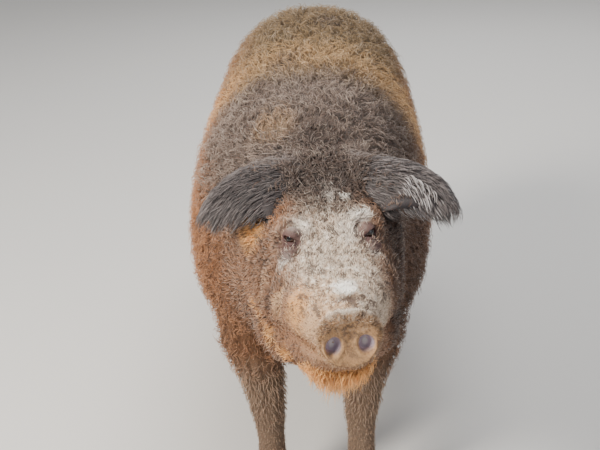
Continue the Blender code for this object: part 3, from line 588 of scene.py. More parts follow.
def body_marks(tree, place):
    """The body's colours: rump, straw band, grey withers and shoulders, rusty flanks, brighter on the right
    side as partly painted light, dark patches, the tail, and painted shade on the front of the left side.
    """
    x, y, z = tree.parts(place)
    shade = tree.mix(tree.ramp(z, 0.56, 0.74), colour("flank"), colour("back"))
    band = tree.times(tree.ramp(y, 0.01, 0.10), tree.ramp(y, 0.29, 0.15))
    band = tree.times(band, tree.ramp(z, 0.44, 0.62))
    shade = tree.stain(shade, band, tree.ramp(z, 0.77, 0.70, 0.45, 0.90), "band")
    # Rusty curls only on the right side, where the key light falls, and brighter than the left flank: partly
    # real rust, partly painted light.
    lit = tree.times(tree.ramp(x, -0.10, -0.17), tree.ramp(z, 0.36, 0.50))
    shade = tree.stain(shade, lit, tree.ramp(z, 0.74, 0.62, 0.15, 0.75), "rim")
    grey = tree.times(tree.ramp(y, 0.12, -0.08), tree.ramp(z, 0.57, 0.70))
    shade = tree.mix(grey, shade, colour("mud"))
    low = tree.times(tree.ramp(y, -0.10, -0.24), tree.ramp(z, 0.66, 0.56))
    shade = tree.stain(shade, low, 0.55, "cheek")
    for middle, radii, share in DARK_SPOTS:
        shade = tree.stain(shade, tree.blob(place, middle, radii, 0.6), share, "crown")
    straw = tree.blob(place, (-0.055, -0.30, 0.77), (0.035, 0.070, 0.06), 0.7)
    shade = tree.stain(shade, straw, 0.35, "band")
    tail = tree.blob(place, tail_place(0.65), (0.06, 0.036, 0.17), 0.35)
    shade = tree.stain(shade, tail, 0.85, "mud")
    # Painted shade: the front of the left side, away from the key light, darkened with the crown's colour.
    painted_shade_side = tree.times(tree.ramp(x, 0.10, 0.20), tree.ramp(y, 0.30, -0.25))
    return tree.stain(shade, painted_shade_side, 0.75, "crown")


def face_marks(tree, head):
    """The face's colours, with painted shade on its left side and in the right cheek's folds and painted
    light on the muzzle's left, and masks of its pale middle and of thick dried mud.
    """
    side, along, height = tree.parts(head)
    middle = tree.blob(head, (-0.002, 0.13, 0.05), (0.068, 0.150, 0.20), 0.60)
    middle = tree.times(tree.ramp(height, -0.005, 0.045), middle)
    shade = tree.mix(middle, colour("cheek"), colour("forehead"))
    # Painted shade: the left side of the face, away from the key light, darkened with the crown's colour.
    shade = tree.stain(shade, tree.ramp(side, 0.078, 0.112), 0.85, "crown")
    for place, radii, soft, share, name in FACE_SPOTS:
        shade = tree.stain(shade, tree.blob(head, place, radii, soft), share, name)
    thick = 0.0
    for place, radii, share in THICK_MUD:
        spot = tree.times(tree.blob(head, place, radii, 0.55), share)
        thick = tree.math("MAXIMUM", spot, thick)
    shade = tree.mix(thick, shade, colour("chalk"))
    below = tree.times(tree.ramp(height, -0.080, -0.102), tree.ramp(along, 0.15, 0.11))
    below = tree.times(below, tree.ramp(tree.math("ABSOLUTE", side), 0.064, 0.044))
    shade = tree.mix(below, shade, colour("chin"))
    return tree.mix(tree.ramp(along, 0.026, 0.012), shade, colour("disc")), middle, thick


def markings_group():
    """The markings by place, for skin and coat alike: colour, with painted light and shade on body and face,
    dried mud, and how pale the hair's tips are.
    """
    made = bpy.data.node_groups.get("pig markings")
    if made:
        return made
    made = bpy.data.node_groups.new("pig markings", "ShaderNodeTree")
    made.interface.new_socket("Vector", in_out="INPUT", socket_type="NodeSocketVector")
    made.interface.new_socket("Color", in_out="OUTPUT", socket_type="NodeSocketColor")
    made.interface.new_socket("Mud", in_out="OUTPUT", socket_type="NodeSocketFloat")
    made.interface.new_socket("Pale", in_out="OUTPUT", socket_type="NodeSocketFloat")
    tree = Tree(made)
    entry = tree.node("NodeGroupInput").outputs[0]
    wobble = tree.vector("SUBTRACT", tree.noise(entry, 10.0, 4.0, output=1), (0.5, 0.5, 0.5))
    place = tree.vector("ADD", entry, tree.vector("MULTIPLY", wobble, (0.085,) * 3))
    z = tree.parts(place)[2]
    shade = body_marks(tree, place)
    for side in (-1, 1):
        root = head_world(EARS[side][0][1], EARS[side][0][0], EARS[side][0][2])
        root = root + AXES[0] * 0.035 * side
        shade = tree.mix(tree.blob(place, root, (0.060, 0.070, 0.070), 0.45), shade, colour("ear"))
    shade = tree.mix(tree.ramp(z, 0.33, 0.24), shade, colour("leg"))
    shade = tree.mix(tree.ramp(z, 0.12, 0.03, 0.0, 0.6), shade, colour("crown"))
    ragged = tree.vector("SUBTRACT", tree.noise(entry, 62.0, 4.0, 0.70, output=1), (0.5, 0.5, 0.5))
    near = tree.vector("ADD", entry, tree.vector("MULTIPLY", wobble, (0.028,) * 3))
    near = tree.vector("ADD", near, tree.vector("MULTIPLY", ragged, (0.046,) * 3))
    head = head_place_node(tree, near)
    _, along, height = tree.parts(head)
    in_head = tree.times(tree.ramp(along, 0.385, 0.345), tree.ramp(z, 0.34, 0.38))
    face, middle, thick = face_marks(tree, head)
    shade = tree.mix(in_head, shade, face)
    pale = tree.ramp(z, 0.56, 0.72, 0.12, 0.58)
    facial = tree.math("MAXIMUM", tree.plus(tree.times(middle, 0.75), 0.25), thick)
    apart = tree.times(tree.math("SUBTRACT", facial, pale), in_head)
    pale = tree.plus(pale, apart)
    broad = tree.noise(entry, 6.0, 3.0)
    shade = tree.mix(0.45, shade, tree.out("ShaderNodeCombineColor", {0: broad, 1: broad, 2: broad}),
                     "SOFT_LIGHT")
    fine = tree.noise(entry, 75.0, 4.0, 0.7)
    zone = tree.times(in_head, tree.ramp(height, -0.05, 0.03))
    mud = tree.times(tree.times(tree.ramp(fine, 0.48, 0.66), zone), middle)
    shade = tree.stain(shade, mud, 0.55, "chalk")
    dark = tree.times(tree.times(tree.ramp(fine, 0.50, 0.40), zone), 0.78)
    dark = tree.times(dark, tree.math("SUBTRACT", 1.0, thick))
    shade = tree.mix(dark, shade, colour("crown"))
    mud = tree.math("MAXIMUM", mud, tree.times(thick, in_head))
    leave = tree.node("NodeGroupOutput")
    made.links.new(shade, leave.inputs[0])
    made.links.new(mud, leave.inputs[1])
    made.links.new(pale, leave.inputs[2])
    return made


def principled(name, roughness=0.8, **sockets):
    """A new material, its node tree, and its Principled shader with constant values on its own sockets."""
    made = bpy.data.materials.new(name)
    made.use_nodes = True
    shader = made.node_tree.nodes["Principled BSDF"]
    shader.inputs["Roughness"].default_value = roughness
    for key, value in sockets.items():
        shader.inputs[key.replace("_", " ")].default_value = value
    return made, Tree(made.node_tree), shader


def object_coordinates(tree):
    return tree.node("ShaderNodeTexCoord").outputs["Object"]


def markings(tree, place):
    made = tree.node("ShaderNodeGroup", node_tree=markings_group())
    tree.tree.links.new(place, made.inputs[0])
    return made.outputs


def wool_lines(tree, place, scale):
    """Thin curly lines like hairs matted flat: 1 on a line, 0 between the lines."""
    field = tree.noise(place, scale, 2.0, 0.5, 2.4)
    away = tree.math("ABSOLUTE", tree.math("SUBTRACT", field, 0.5))
    return tree.ramp(away, 0.0, 0.045, 1.0, 0.0)


def skin_material():
    """Skin under the coat: matted wool on the body, with painted shade between its hair lines; on the face
    pores, creases, dried mud, painted shade in a furrow of the bridge, and wet nostrils with a painted glint.
    """
    made, tree, shader = principled("skin", 0.78, Specular_IOR_Level=0.30, Subsurface_Weight=0.04)
    place = object_coordinates(tree)
    shade, mud, _ = markings(tree, place)
    head = head_place_node(tree, place)
    along = tree.parts(head)[1]
    z = tree.parts(place)[2]
    face = tree.times(tree.ramp(along, 0.37, 0.32), tree.ramp(z, 0.34, 0.38))
    lines = tree.math("MAXIMUM", wool_lines(tree, place, 75), wool_lines(tree, place, 130))
    # Painted shade between the matted hair lines
    shaded_gaps = tree.mix(0.62, shade, WOOL_GAP_SHADE)
    wool = tree.mix(tree.times(lines, 0.75), shaded_gaps, shade)
    between = tree.mix(tree.times(tree.math("SUBTRACT", 1.0, mud), 0.36), shade, DEEP_FACE)
    shade = tree.mix(face, wool, tree.mix(tree.ramp(along, 0.026, 0.012), between, shade))
    ear = tree.node("ShaderNodeAttribute", attribute_name="ear").outputs["Fac"]
    shade = tree.mix(ear, shade, EAR_SKIN)
    for way in (-1, 1):
        for (side, back, high), radii, share in LID_SPOTS:
            lid = tree.blob(head, (way * side, back, high), radii, 0.5)
            shade = tree.stain(shade, lid, share, "lid")
        # The nostril: wet skin in a colour paler than its own, partly painted sheen, with a painted glint low
        # in it.
        hole = tree.blob(head, (way * NOSTRIL["spread"], 0.012, NOSTRIL["height"]), (0.0128, 0.040, 0.0152),
                         0.16)
        shade = tree.mix(hole, shade, colour("nostril"))
        glint = tree.blob(head, (way * NOSTRIL["spread"] - 0.001, 0.012, NOSTRIL["height"] - 0.005),
                          (0.0042, 0.040, 0.0062), 0.5)
        shade = tree.stain(shade, tree.times(glint, hole), 0.75, "silver")
        wet = hole if way < 0 else tree.math("MAXIMUM", wet, hole)
    # Painted shade: the furrow of the bridge below the pale mud, darkened with the crown's colour.
    painted_crease_shade = tree.times(tree.blob(head, (0.004, 0.054, 0.040), (0.026, 0.0062, 0.03), 0.5), 0.9)
    shade = tree.mix(painted_crease_shade, shade, colour("crown"))
    on_disc = tree.ramp(along, 0.024, 0.012)
    blotch = tree.times(tree.ramp(tree.noise(place, 95.0, 4.0, 0.65), 0.46, 0.62), on_disc)
    shade = tree.stain(shade, tree.times(blotch, 0.5), tree.ramp(wet, 0.3, 0.1), "crown")
    tree.tree.links.new(shade, shader.inputs["Base Color"])
    hair = tree.noise(tree.vector("MULTIPLY", place, (520, 160, 320)), 1.0, 3.0, 0.6)
    pores = tree.noise(place, 330.0, 3.0, 0.6)
    folds = tree.noise(tree.vector("MULTIPLY", place, (26, 60, 50)), 1.0, 4.0, 0.6)
    relief = tree.plus(tree.times(hair, 0.0014), tree.times(pores, 0.0008))
    relief = tree.plus(relief, tree.times(folds, 0.0030))
    relief = tree.plus(relief, tree.times(mud, 0.0010))
    woolly = tree.times(lines, tree.math("SUBTRACT", 1.0, face))
    relief = tree.plus(relief, tree.times(woolly, 0.0022))
    relief = tree.times(relief, tree.ramp(wet, 0.3, 0.9, 1.0, 0.15))
    bump = tree.out("ShaderNodeBump", {"Strength": 0.9, "Distance": 1.0, "Height": relief})
    tree.tree.links.new(bump, shader.inputs["Normal"])
    tree.tree.links.new(tree.ramp(wet, 0.2, 0.8, 0.78, 0.16), shader.inputs["Roughness"])
    return made


def strand_values(tree):
    """A strand's own tone, and the share of its length from root to tip."""
    names = ("tone", "tip")
    return [tree.node("ShaderNodeAttribute", attribute_name=name).outputs["Fac"] for name in names]


def hair_material(name, pale_share=0.35, dark_share=0.5, root_dark=0.5, roughness=0.6, stray=0.0):
    """Hair with the markings' colour from near its place, dark at its root; strands differ in tone."""
    made, tree, shader = principled(name, roughness, Specular_IOR_Level=0.35, Sheen_Weight=0.15,
                                    Sheen_Roughness=0.4)
    tone, tip = strand_values(tree)
    away = tree.math("SUBTRACT", tone, 0.5)
    astray = {1: tree.times(away, stray), 2: tree.times(away, stray * 0.7)}
    away = tree.out("ShaderNodeCombineXYZ", astray)
    shade, _, share = markings(tree, tree.vector("ADD", object_coordinates(tree), away))
    shade = tree.mix(tree.ramp(tip, 0.7, 0.0, 0.0, root_dark), shade, HAIR_ROOT)
    pale = tree.times(tree.ramp(tone, 0.60, 0.95), tree.ramp(tip, 0.15, 0.6, 0.4, 1.0))
    bleached = tree.mix(share, tree.mix(1.0, shade, shade, "SCREEN"), BLEACHED_HAIR)
    pale = tree.times(pale, tree.math("MAXIMUM", share, 0.5))
    shade = tree.mix(tree.times(pale, pale_share), shade, bleached)
    shade = tree.mix(tree.ramp(tone, 0.40, 0.05, 0.0, dark_share), shade, DARK_HAIR)
    tree.tree.links.new(shade, shader.inputs["Base Color"])
    return made


def ear_hair_material():
    """Slate hair of the ears, some strands silver towards their tips."""
    made, tree, shader = principled("ear hair", 0.48, Specular_IOR_Level=0.45, Sheen_Weight=0.15)
    tone, tip = strand_values(tree)
    shade = tree.mix(tree.ramp(tone, 0.0, 0.75), DARK_EAR_HAIR, colour("ear"))
    silver = tree.times(tree.ramp(tone, 0.80, 0.94), tree.ramp(tip, 0.1, 0.55))
    shade = tree.mix(silver, shade, colour("silver"))
    tree.tree.links.new(shade, shader.inputs["Base Color"])
    return made


def chin_hair_material():
    """Rusty gold hair of the chin."""
    made, tree, shader = principled("chin hair", 0.55, Specular_IOR_Level=0.35, Sheen_Weight=0.15)
    tone, tip = strand_values(tree)
    shade = tree.mix(tree.ramp(tone, 0.4, 1.0, 0.0, 0.6), colour("chin"), colour("band"))
    shade = tree.mix(tree.ramp(tip, 0.5, 0.0, 0.0, 0.4), shade, RUSTY_ROOT)
    shade = tree.mix(tree.ramp(tone, 0.3, 0.0, 0.0, 0.5), shade, RUSTY_DARK)
    tree.tree.links.new(shade, shader.inputs["Base Color"])
    return made


def eye_material():
    """A dark brown eye with a wide pupil, wet."""
    made, tree, shader = principled("eye", 0.06, Specular_IOR_Level=0.6, Coat_Weight=0.6, Coat_Roughness=0.03)
    place = object_coordinates(tree)
    shade = colour("lid")
    for side in (-1, 1):
        eye = head_world(EYE["along"], side * EYE["side"], EYE["height"])
        look = unit(EYE_LOOK * (side, 1, 1)) @ AXES
        front = eye + look * EYE["radius"]
        ring = tree.blob(place, front, (0.0085,) * 3, 0.12)
        shade = tree.mix(ring, shade, colour("eye"))
        shade = tree.mix(tree.blob(place, front, (0.0042,) * 3, 0.12), shade, PUPIL)
    tree.tree.links.new(shade, shader.inputs["Base Color"])
    return made


def horn_material():
    """Horn of the claws: streaked, scuffed and muddy."""
    made, tree, shader = principled("horn", 0.6, Specular_IOR_Level=0.4)
    place = object_coordinates(tree)
    streak = tree.noise(tree.vector("MULTIPLY", place, (260, 260, 40)), 1.0, 3.0)
    rings = tree.noise(tree.vector("MULTIPLY", place, (20, 20, 330)), 1.0, 2.0)
    mud = tree.noise(place, 70.0, 4.0, 0.65)
    shade = tree.mix(tree.ramp(streak, 0.35, 0.65, 0.0, 0.6), colour("horn"), DARK_HORN)
    shade = tree.mix(tree.ramp(mud, 0.48, 0.62, 0.0, 0.75), shade, colour("leg"))
    tree.tree.links.new(shade, shader.inputs["Base Color"])
    height = tree.plus(tree.times(rings, 0.0009), tree.times(mud, 0.0010))
    bump = tree.out("ShaderNodeBump", {"Strength": 0.8, "Distance": 1.0, "Height": height})
    tree.tree.links.new(bump, shader.inputs["Normal"])
    return made


def floor_material():
    made, _, shader = principled("floor", 0.75, Specular_IOR_Level=0.3)
    shader.inputs["Base Color"].default_value = FLOOR
    return made


# The skin

def trunk_rings(rows, sides):
    """The trunk's sections under the coat: its depth fades where the neck meets the head."""
    shares = np.linspace(0, 1, rows)
    y, z, lean, half_width, rise, drop = smoothed(TRUNK, shares).T
    inset = COAT_DEPTH + (NECK_DEPTH - COAT_DEPTH) * smooth_step(NECK_FADE[0], NECK_FADE[1], y)
    dive = smooth_step(-0.46, -0.58, y)
    rise, half_width = rise - NECK_DROP * dive, half_width - 0.5 * NECK_DROP * dive
    y = y - COAT_DEPTH * np.maximum(1 - shares / TRUNK_END_REACH, 0)
    lean = np.radians(lean)
    ups = np.stack((0 * lean, -np.sin(lean), np.cos(lean)), 1)
    rings = sections(np.stack((0 * y, y, z), 1), np.array((1, 0, 0)), ups, half_width - inset, rise - inset,
                     drop - inset, sides, TRUNK_SQUARENESS)
    share = np.clip((TURN_PIVOT[1] - rings[..., 1]) / TURN_REACH, 0, 1)
    share = np.round(share * share * (3 - 2 * share), 2)
    return turned(rings, share) + SHIFT


def head_rings(table, rows, sides, inset):
    along, level, half_width, rise, drop = smoothed(table, np.linspace(0, 1, rows)).T
    inset = inset * smooth_step(0.02, 0.07, along)
    rise = rise - POLL_DROP * smooth_step(0.28, 0.38, along)
    lean = np.radians(DISC_LEAN) * np.maximum(1 - along / DISC_LEAN_END, 0)
    ups = HEAD_UP * np.cos(lean)[:, None] + HEAD_BACK * np.sin(lean)[:, None]
    middles = SNOUT_TIP + HEAD_BACK * along[:, None] + HEAD_UP * level[:, None]
    rings = sections(middles, np.array((1, 0, 0)), ups, half_width - inset, rise - inset, drop - inset, sides,
                     HEAD_SQUARENESS)
    return turned(rings) + SHIFT


def leg_rings(table, side, inset):
    y, x, z, half_width, half_depth = smoothed(table, np.linspace(0, 1, 30)).T
    ups = np.tile((0.0, 1.0, 0.0), (len(y), 1))
    rings = sections(np.stack((side * x, y, z), 1), np.array((1, 0, 0)), ups, half_width - inset,
                     half_depth - inset,
                     half_depth - inset, 28, 2.1)
    return rings + SHIFT


def tail_place(u):
    u = np.asarray(u, float)
    offset = np.stack((0.030 * np.sin(2.6 * u), 0.075 * np.sin(1.5 * u),
                       -TAIL_LENGTH * np.maximum(u, 0) ** 1.15), -1)
    return TAIL_ROOT + offset + SHIFT


def ear_frame(side, u):
    """Middle, way along, back and half width of an ear at shares of its length."""
    root, length, start, end, back_of_ear = EARS[side]
    u = np.asarray(u, float)[:, None]
    start, end = unit(start), unit(end)
    base = head_world(root[1], root[0], root[2])
    middle = base + (start * (u - u * u / 2) + end * u * u / 2) * length
    ahead = unit(start + (end - start) * u)
    back = np.array(back_of_ear) - ahead * (ahead @ np.array(back_of_ear))[:, None]
    shape = np.sin(np.pi * (0.22 + 0.76 * np.maximum(u[:, 0], 0)) ** 1.05)
    half_width = EAR_WIDTH / 2 * (np.maximum(shape, 0) ** 0.7 + 0.04)
    return middle, ahead, unit(back), half_width


def ear_fold(side, u, edge):
    """How far a place of the ear belongs to its front edge, which turns up: 0 to 1."""
    return smooth_step(0.35, 1.0, side * edge) * gauss(u - EAR_FOLD_PLACE[side], 0.22)


def ear_grid(side, rows=26, columns=20, low=-0.12):
    """Points of an ear's sheet, rows by columns, with the ways out of its rounded back and along it."""
    u = np.linspace(low, 1, rows)
    middle, ahead, back, half_width = ear_frame(side, u)
    across = np.cross(ahead, back)
    spread = np.radians(118 - 66 * np.maximum(u, 0))
    radius = half_width / np.sin(np.minimum(spread, np.pi / 2))
    angle = spread[:, None] * np.linspace(-1, 1, columns)
    ripple = 1 + 0.05 * np.sin(5 * u)[:, None] * np.sin(angle * 2)
    points = (middle[:, None] + across[:, None] * (radius[:, None] * np.sin(angle) * ripple)[..., None]
              - back[:, None] * (radius[:, None] * (1 - np.cos(angle)) * 0.8)[..., None])
    fold = ear_fold(side, u[:, None], np.linspace(-1, 1, columns)[None])
    turned_up = (EAR_FOLD[side] * fold ** 2)[..., None]
    points = points + (across[:, None] * side * 0.85 + back[:, None] * 0.75) * turned_up
    out = across[:, None] * np.sin(angle)[..., None] + back[:, None] * np.cos(angle)[..., None]
    along = np.broadcast_to(ahead[:, None], points.shape)
    return points, unit(out), along


def ear_object(side):
    points, _, _ = ear_grid(side)
    rows, columns, _ = points.shape
    faces = []
    for row in range(rows - 1):
        for column in range(columns - 1):
            a = row * columns + column
            faces.append((a, a + 1, a + 1 + columns, a + columns))
    made = object_from("ear", points.reshape(-1, 3), faces)
    outwards(made)
    apply_modifier(made, "SOLIDIFY", thickness=0.006, offset=0)
    apply_modifier(made, "SUBSURF", levels=1, render_levels=1)
    return made


def near_any(points, middles, radius):
    found = np.zeros(len(points), bool)
    for middle in middles:
        found |= np.linalg.norm(points - middle, axis=1) < radius
    return found


def refine(obj, pick):
    """Subdivides the faces that pick chooses by their middles."""
    shape = bmesh.new()
    shape.from_mesh(obj.data)
    middles = np.array([f.calc_center_median() for f in shape.faces])
    chosen = pick(middles)
    edges = {edge for face, yes in zip(shape.faces, chosen) if yes for edge in face.edges}
    bmesh.ops.subdivide_edges(shape, edges=list(edges), cuts=1, use_grid_fill=True)
    bmesh.ops.triangulate(shape, faces=[f for f in shape.faces if len(f.verts) > 4])
    shape.to_mesh(obj.data)
    shape.free()


def eye_world(side):
    return head_world(EYE["along"], side * EYE["side"], EYE["height"])


def bridge_folds(side, along, height):
    """Furrows across the bridge close behind the disc, and a shallow dish above them."""
    moved = np.zeros(len(side))
    for place, depth, reach, width in BRIDGE_FOLDS:
        wave = place + 0.008 * np.cos(side * 30) + 0.003 * np.sin(side * 80 + place * 90)
        reach = np.exp(-(side / reach) ** 4) * (height > 0)
        moved += depth * reach * (0.6 * gauss(along - wave - 0.012, width * 1.5) - gauss(along - wave, width))
    moved -= 0.004 * gauss(side, 0.012) * smooth_step(0.19, 0.24, along) * (height > 0)
    moved -= 0.004 * gauss(along - 0.15, 0.04) * gauss(side, 0.05) * (height > 0)
    return moved


def disc_rim(along, height):
    """The roll round the disc and the furrow behind it, deepest above."""
    above = 0.65 + 0.35 * smooth_step(-0.02, 0.02, height)
    return above * (0.0042 * gauss(along - 0.012, 0.008) - 0.0050 * gauss(along - 0.033, 0.009))


def cheek_folds(side, along, height):
    """Upright folds of the cheeks, behind the corners of the mouth."""
    moved = np.zeros(len(side))
    strength = smooth_step(0.045, 0.080, np.abs(side)) * smooth_step(0.045, 0.0, height)
    for place, depth in CHEEK_FOLDS:
        wave = place + 0.16 * (height + 0.02) + 0.007 * np.sin(height * 60 + place * 40)
        moved += depth * strength * (0.8 * gauss(along - wave - 0.016, 0.011) - gauss(along - wave, 0.0068))
    return moved


def eye_folds(points):
    """Creases round the lids, and a wrinkled bag below each eye."""
    moved = np.zeros(len(points))
    for way in (-1, 1):
        local = (points - np.array((way * EYE["side"], EYE["along"], EYE["height"]))) * (way, 1, 1)
        bag = np.linalg.norm(local - np.array((0.008, -0.024, -0.010)), axis=1)
        moved += 0.0080 * gauss(bag, 0.0125) - 0.0040 * gauss(bag - 0.0185, 0.0032)
        moved -= 0.0014 * np.sin(local[:, 1] * 760 + local[:, 2] * 500) * gauss(bag, 0.014)
        ring = np.linalg.norm(local * (1.0, 0.9, 1.0), axis=1)
        above = smooth_step(-0.010, 0.006, local[:, 1])
        moved -= 0.0046 * gauss(ring - 0.0215, 0.0034) * (0.45 + 0.55 * above)
        moved += 0.0042 * gauss(ring - 0.0300, 0.0052) * above
        moved -= 0.0020 * gauss(ring - 0.0385, 0.0030)
    return moved


def mouth_line(along, height):
    """The groove of the mouth, from below the disc back and up along the cheek, between two lips."""
    line = -0.0555 - 0.06 * np.clip(along - 0.03, 0, 0.2) + 0.9 * np.clip(along - 0.10, 0, 0.1) ** 2
    ahead = smooth_step(0.020, 0.034, along) * smooth_step(0.150, 0.115, along)
    lips = gauss(np.abs(height - line) - 0.0085, 0.0045)
    return ahead * (0.0024 * lips - 0.0065 * gauss(height - line, 0.0032))


def disc_relief(side, along, height):
    """How far the disc's skin is pushed out of or into its face: rim, groove and nostrils."""
    lean = math.radians(DISC_LEAN)
    depth = along * math.cos(lean) - height * math.sin(lean)
    front = smooth_step(0.018, 0.005, depth) * (along < 0.05)
    ring = np.sqrt((side / 0.050) ** 2 + ((height + 0.002) / 0.046) ** 2)
    push = 0.0030 * gauss(ring - 0.92, 0.10) - 0.0030 * smooth_step(0.85, 0.2, ring)
    push -= 0.0022 * gauss(side, 0.004) * (height > -0.004) * smooth_step(1.0, 0.6, ring)
    for way in (-1, 1):
        across = (side - way * NOSTRIL["spread"]) * way / NOSTRIL["half_width"]
        above = (height - NOSTRIL["height"]) / NOSTRIL["half_height"]
        turn = math.radians(24)
        wide = across * math.cos(turn) + above * math.sin(turn)
        high = above * math.cos(turn) - across * math.sin(turn)
        ring = np.sqrt(wide ** 2 + (high * 0.80) ** 2)
        push -= NOSTRIL["depth"] * smooth_step(1.20, 0.45, ring)
        push += 0.0014 * gauss(ring - 1.40, 0.22)
    return push * front


def head_relief(points, normals):
    """Moves the head's skin into its folds, rims and furrows."""
    local = head_coordinates(points)
    side, along, height = local.T
    moved = (bridge_folds(side, along, height) + disc_rim(along, height) + cheek_folds(side, along, height)
             + eye_folds(local) + mouth_line(along, height))
    in_head = smooth_step(0.37, 0.34, along) * (points[:, 2] > 0.35)
    points = points + normals * (moved * in_head)[:, None]
    lean = math.radians(DISC_LEAN)
    outward = -(AXES[1] * math.cos(lean) - AXES[2] * math.sin(lean))
    return points + outward * disc_relief(*head_coordinates(points).T)[:, None]


def smooth_poll(skin):
    """Blends the neck into the back of the head."""
    _, along, _ = head_coordinates(points_of(skin)).T
    weight = smooth_step(0.25, 0.30, along) * smooth_step(0.47, 0.42, along)
    group = skin.vertex_groups.new(name="poll")
    for k in range(1, 5):
        pick = np.nonzero((weight > (k - 1) / 4) & (weight <= k / 4))[0]
        group.add(pick.tolist(), k / 4, "REPLACE")
    apply_modifier(skin, "SMOOTH", factor=0.5, iterations=60, vertex_group="poll")
    skin.vertex_groups.clear()


def build_skin():
    """One closed skin from trunk, head, jaw, legs and tail, with ears joined and the eyes' sockets cut."""
    sizes = bpy.context.scene.pig_sizes
    parts = [loft("trunk", trunk_rings(60, 64)), loft("head", head_rings(HEAD, 60, 64, 0.004)),
             loft("jaw", head_rings(JAW, 40, 48, 0.004))]
    for way in (-1, 1):
        brow = head_world(0.248, way * 0.058, 0.050)
        parts.append(ellipsoid("brow", brow, (0.036, 0.042, 0.026), AXES))
        parts.append(ellipsoid("lids", eye_world(way), (0.0168,) * 3, AXES))
        parts += [loft("leg", leg_rings(table, way, 0.004)) for table in (FORELEG, HINDLEG)]
    u = np.linspace(0, 1, 30)
    radius = TAIL_RADIUS * (1.25 - 0.65 * u) - 0.002
    parts.append(loft("tail", sections(tail_place(u), np.array((1, 0, 0)), np.tile((0, 0.8, 0.6), (30, 1)),
                                       radius,
                                       radius, radius, 16, 2)))
    skin = joined("skin", parts)
    apply_modifier(skin, "REMESH", mode="VOXEL", voxel_size=sizes.voxel)
    apply_modifier(skin, "SMOOTH", factor=0.5, iterations=3)
    smooth_poll(skin)
    eyes = [eye_world(-1), eye_world(1)]
    disc = head_world(0.0, 0, 0)
    refine(skin, lambda middles: near_any(middles, eyes, 0.040) | near_any(middles, [disc], 0.075))
    refine(skin, lambda middles: near_any(middles, eyes, 0.026))
    skin.data.update()
    set_points(skin, head_relief(points_of(skin), normals_of(skin)))
    for way in (-1, 1):
        ear = ear_object(way)
        cut_or_join(skin, ear, "UNION")
        look = unit(EYE_LOOK * (way, 1, 1)) @ AXES
        across = unit(np.cross(look, AXES[2]))
        frame_of_slit = np.array((across, look, np.cross(across, look)))
        cut_or_join(skin, ellipsoid("socket", eye_world(way), (0.0122,) * 3, AXES), "DIFFERENCE")
        opening = 0.0066 if way > 0 else 0.0048
        slit = ellipsoid("slit", eye_world(way) + look * 0.013, (0.0125, 0.0140, opening), frame_of_slit)
        cut_or_join(skin, slit, "DIFFERENCE")
    lighten_body(skin)
    mark_ears(skin)
    skin.data.materials.clear()
    skin.data.materials.append(skin_material())
    return skin


def cut_or_join(obj, other, operation):
    apply_modifier(obj, "BOOLEAN", object=other, operation=operation, solver="MANIFOLD")
    bpy.data.objects.remove(other)


def lighten_body(skin):
    """Thins the skin's mesh under the curls, where no fine shape shows."""
    points = points_of(skin)
    _, along, _ = head_coordinates(points).T
    weight = smooth_step(0.33, 0.40, along) * smooth_step(0.24, 0.30, points[:, 2])
    group = skin.vertex_groups.new(name="under coat")
    for level in (0.25, 0.5, 0.75, 1.0):
        pick = np.nonzero((weight > level - 0.25) & (weight <= level))[0]
        group.add(pick.tolist(), level, "REPLACE")
    skin.data.calc_loop_triangles()
    count = len(skin.data.loop_triangles)
    apply_modifier(skin, "TRIANGULATE")
    apply_modifier(skin, "DECIMATE", ratio=min(SKIN_TRIANGLES / count, 1), vertex_group="under coat",
                   vertex_group_factor=10)
    skin.vertex_groups.clear()


def mark_ears(skin):
    """Keeps on the skin how far each place belongs to an ear, for its dark colour."""
    points = points_of(skin)
    share = np.zeros(len(points))
    for way in (-1, 1):
        places = ear_grid(way, 40, 30, 0.02)[0].reshape(-1, 3)
        near = np.nonzero(np.linalg.norm(points - places.mean(0), axis=1) < 0.16)[0]
        away = np.linalg.norm(points[near] - places[nearest(points[near], places)], axis=1)
        share[near] = np.maximum(share[near], smooth_step(0.016, 0.009, away))
    layer = skin.data.attributes.new("ear", "FLOAT", "POINT")
    layer.data.foreach_set("value", share.astype(np.float32))


FLESH = ("rump", "barrel", "chest", "neck", "head", "jaw", "snout", "tail", "ear_left", "ear_right",
         "foreleg_left",
         "foreleg_right", "hindleg_left", "hindleg_right")


# The coat

class Surface:
    """The skin as arrays, for taking roots on it."""

    def __init__(self, obj):
        obj.data.calc_loop_triangles()
        count = len(obj.data.loop_triangles)
        corners = np.empty(count * 3, np.int32)
        obj.data.loop_triangles.foreach_get("vertices", corners)
        self.corners = corners.reshape(-1, 3)
        self.points = points_of(obj)
        self.normals = normals_of(obj)
        a, b, c = (self.points[self.corners[:, k]] for k in range(3))
        self.areas = np.linalg.norm(np.cross(b - a, c - a), axis=1) / 2
        self.middles = (a + b + c) / 3

    def roots(self, count, weight, draws):
        """Points on the surface and their normals, drawn by area times weight."""
        share = self.areas * weight
        total = np.cumsum(share)
        faces = np.searchsorted(total, (np.arange(count) + draws.random(count)) / count * total[-1])
        faces = np.minimum(faces, len(self.areas) - 1)
        u, v = draws.random(count), draws.random(count)
        fold = u + v > 1
        u, v = np.where(fold, 1 - u, u), np.where(fold, 1 - v, v)
        mix = np.stack((1 - u - v, u, v), 1)[..., None]
        points = (self.points[self.corners[faces]] * mix).sum(1)
        normals = unit((self.normals[self.corners[faces]] * mix).sum(1))
        return points, normals


def draws_for(piece):
    """A random source of its own for a piece, by its number."""
    return np.random.default_rng(bpy.context.scene.pig_sizes.seed + piece)


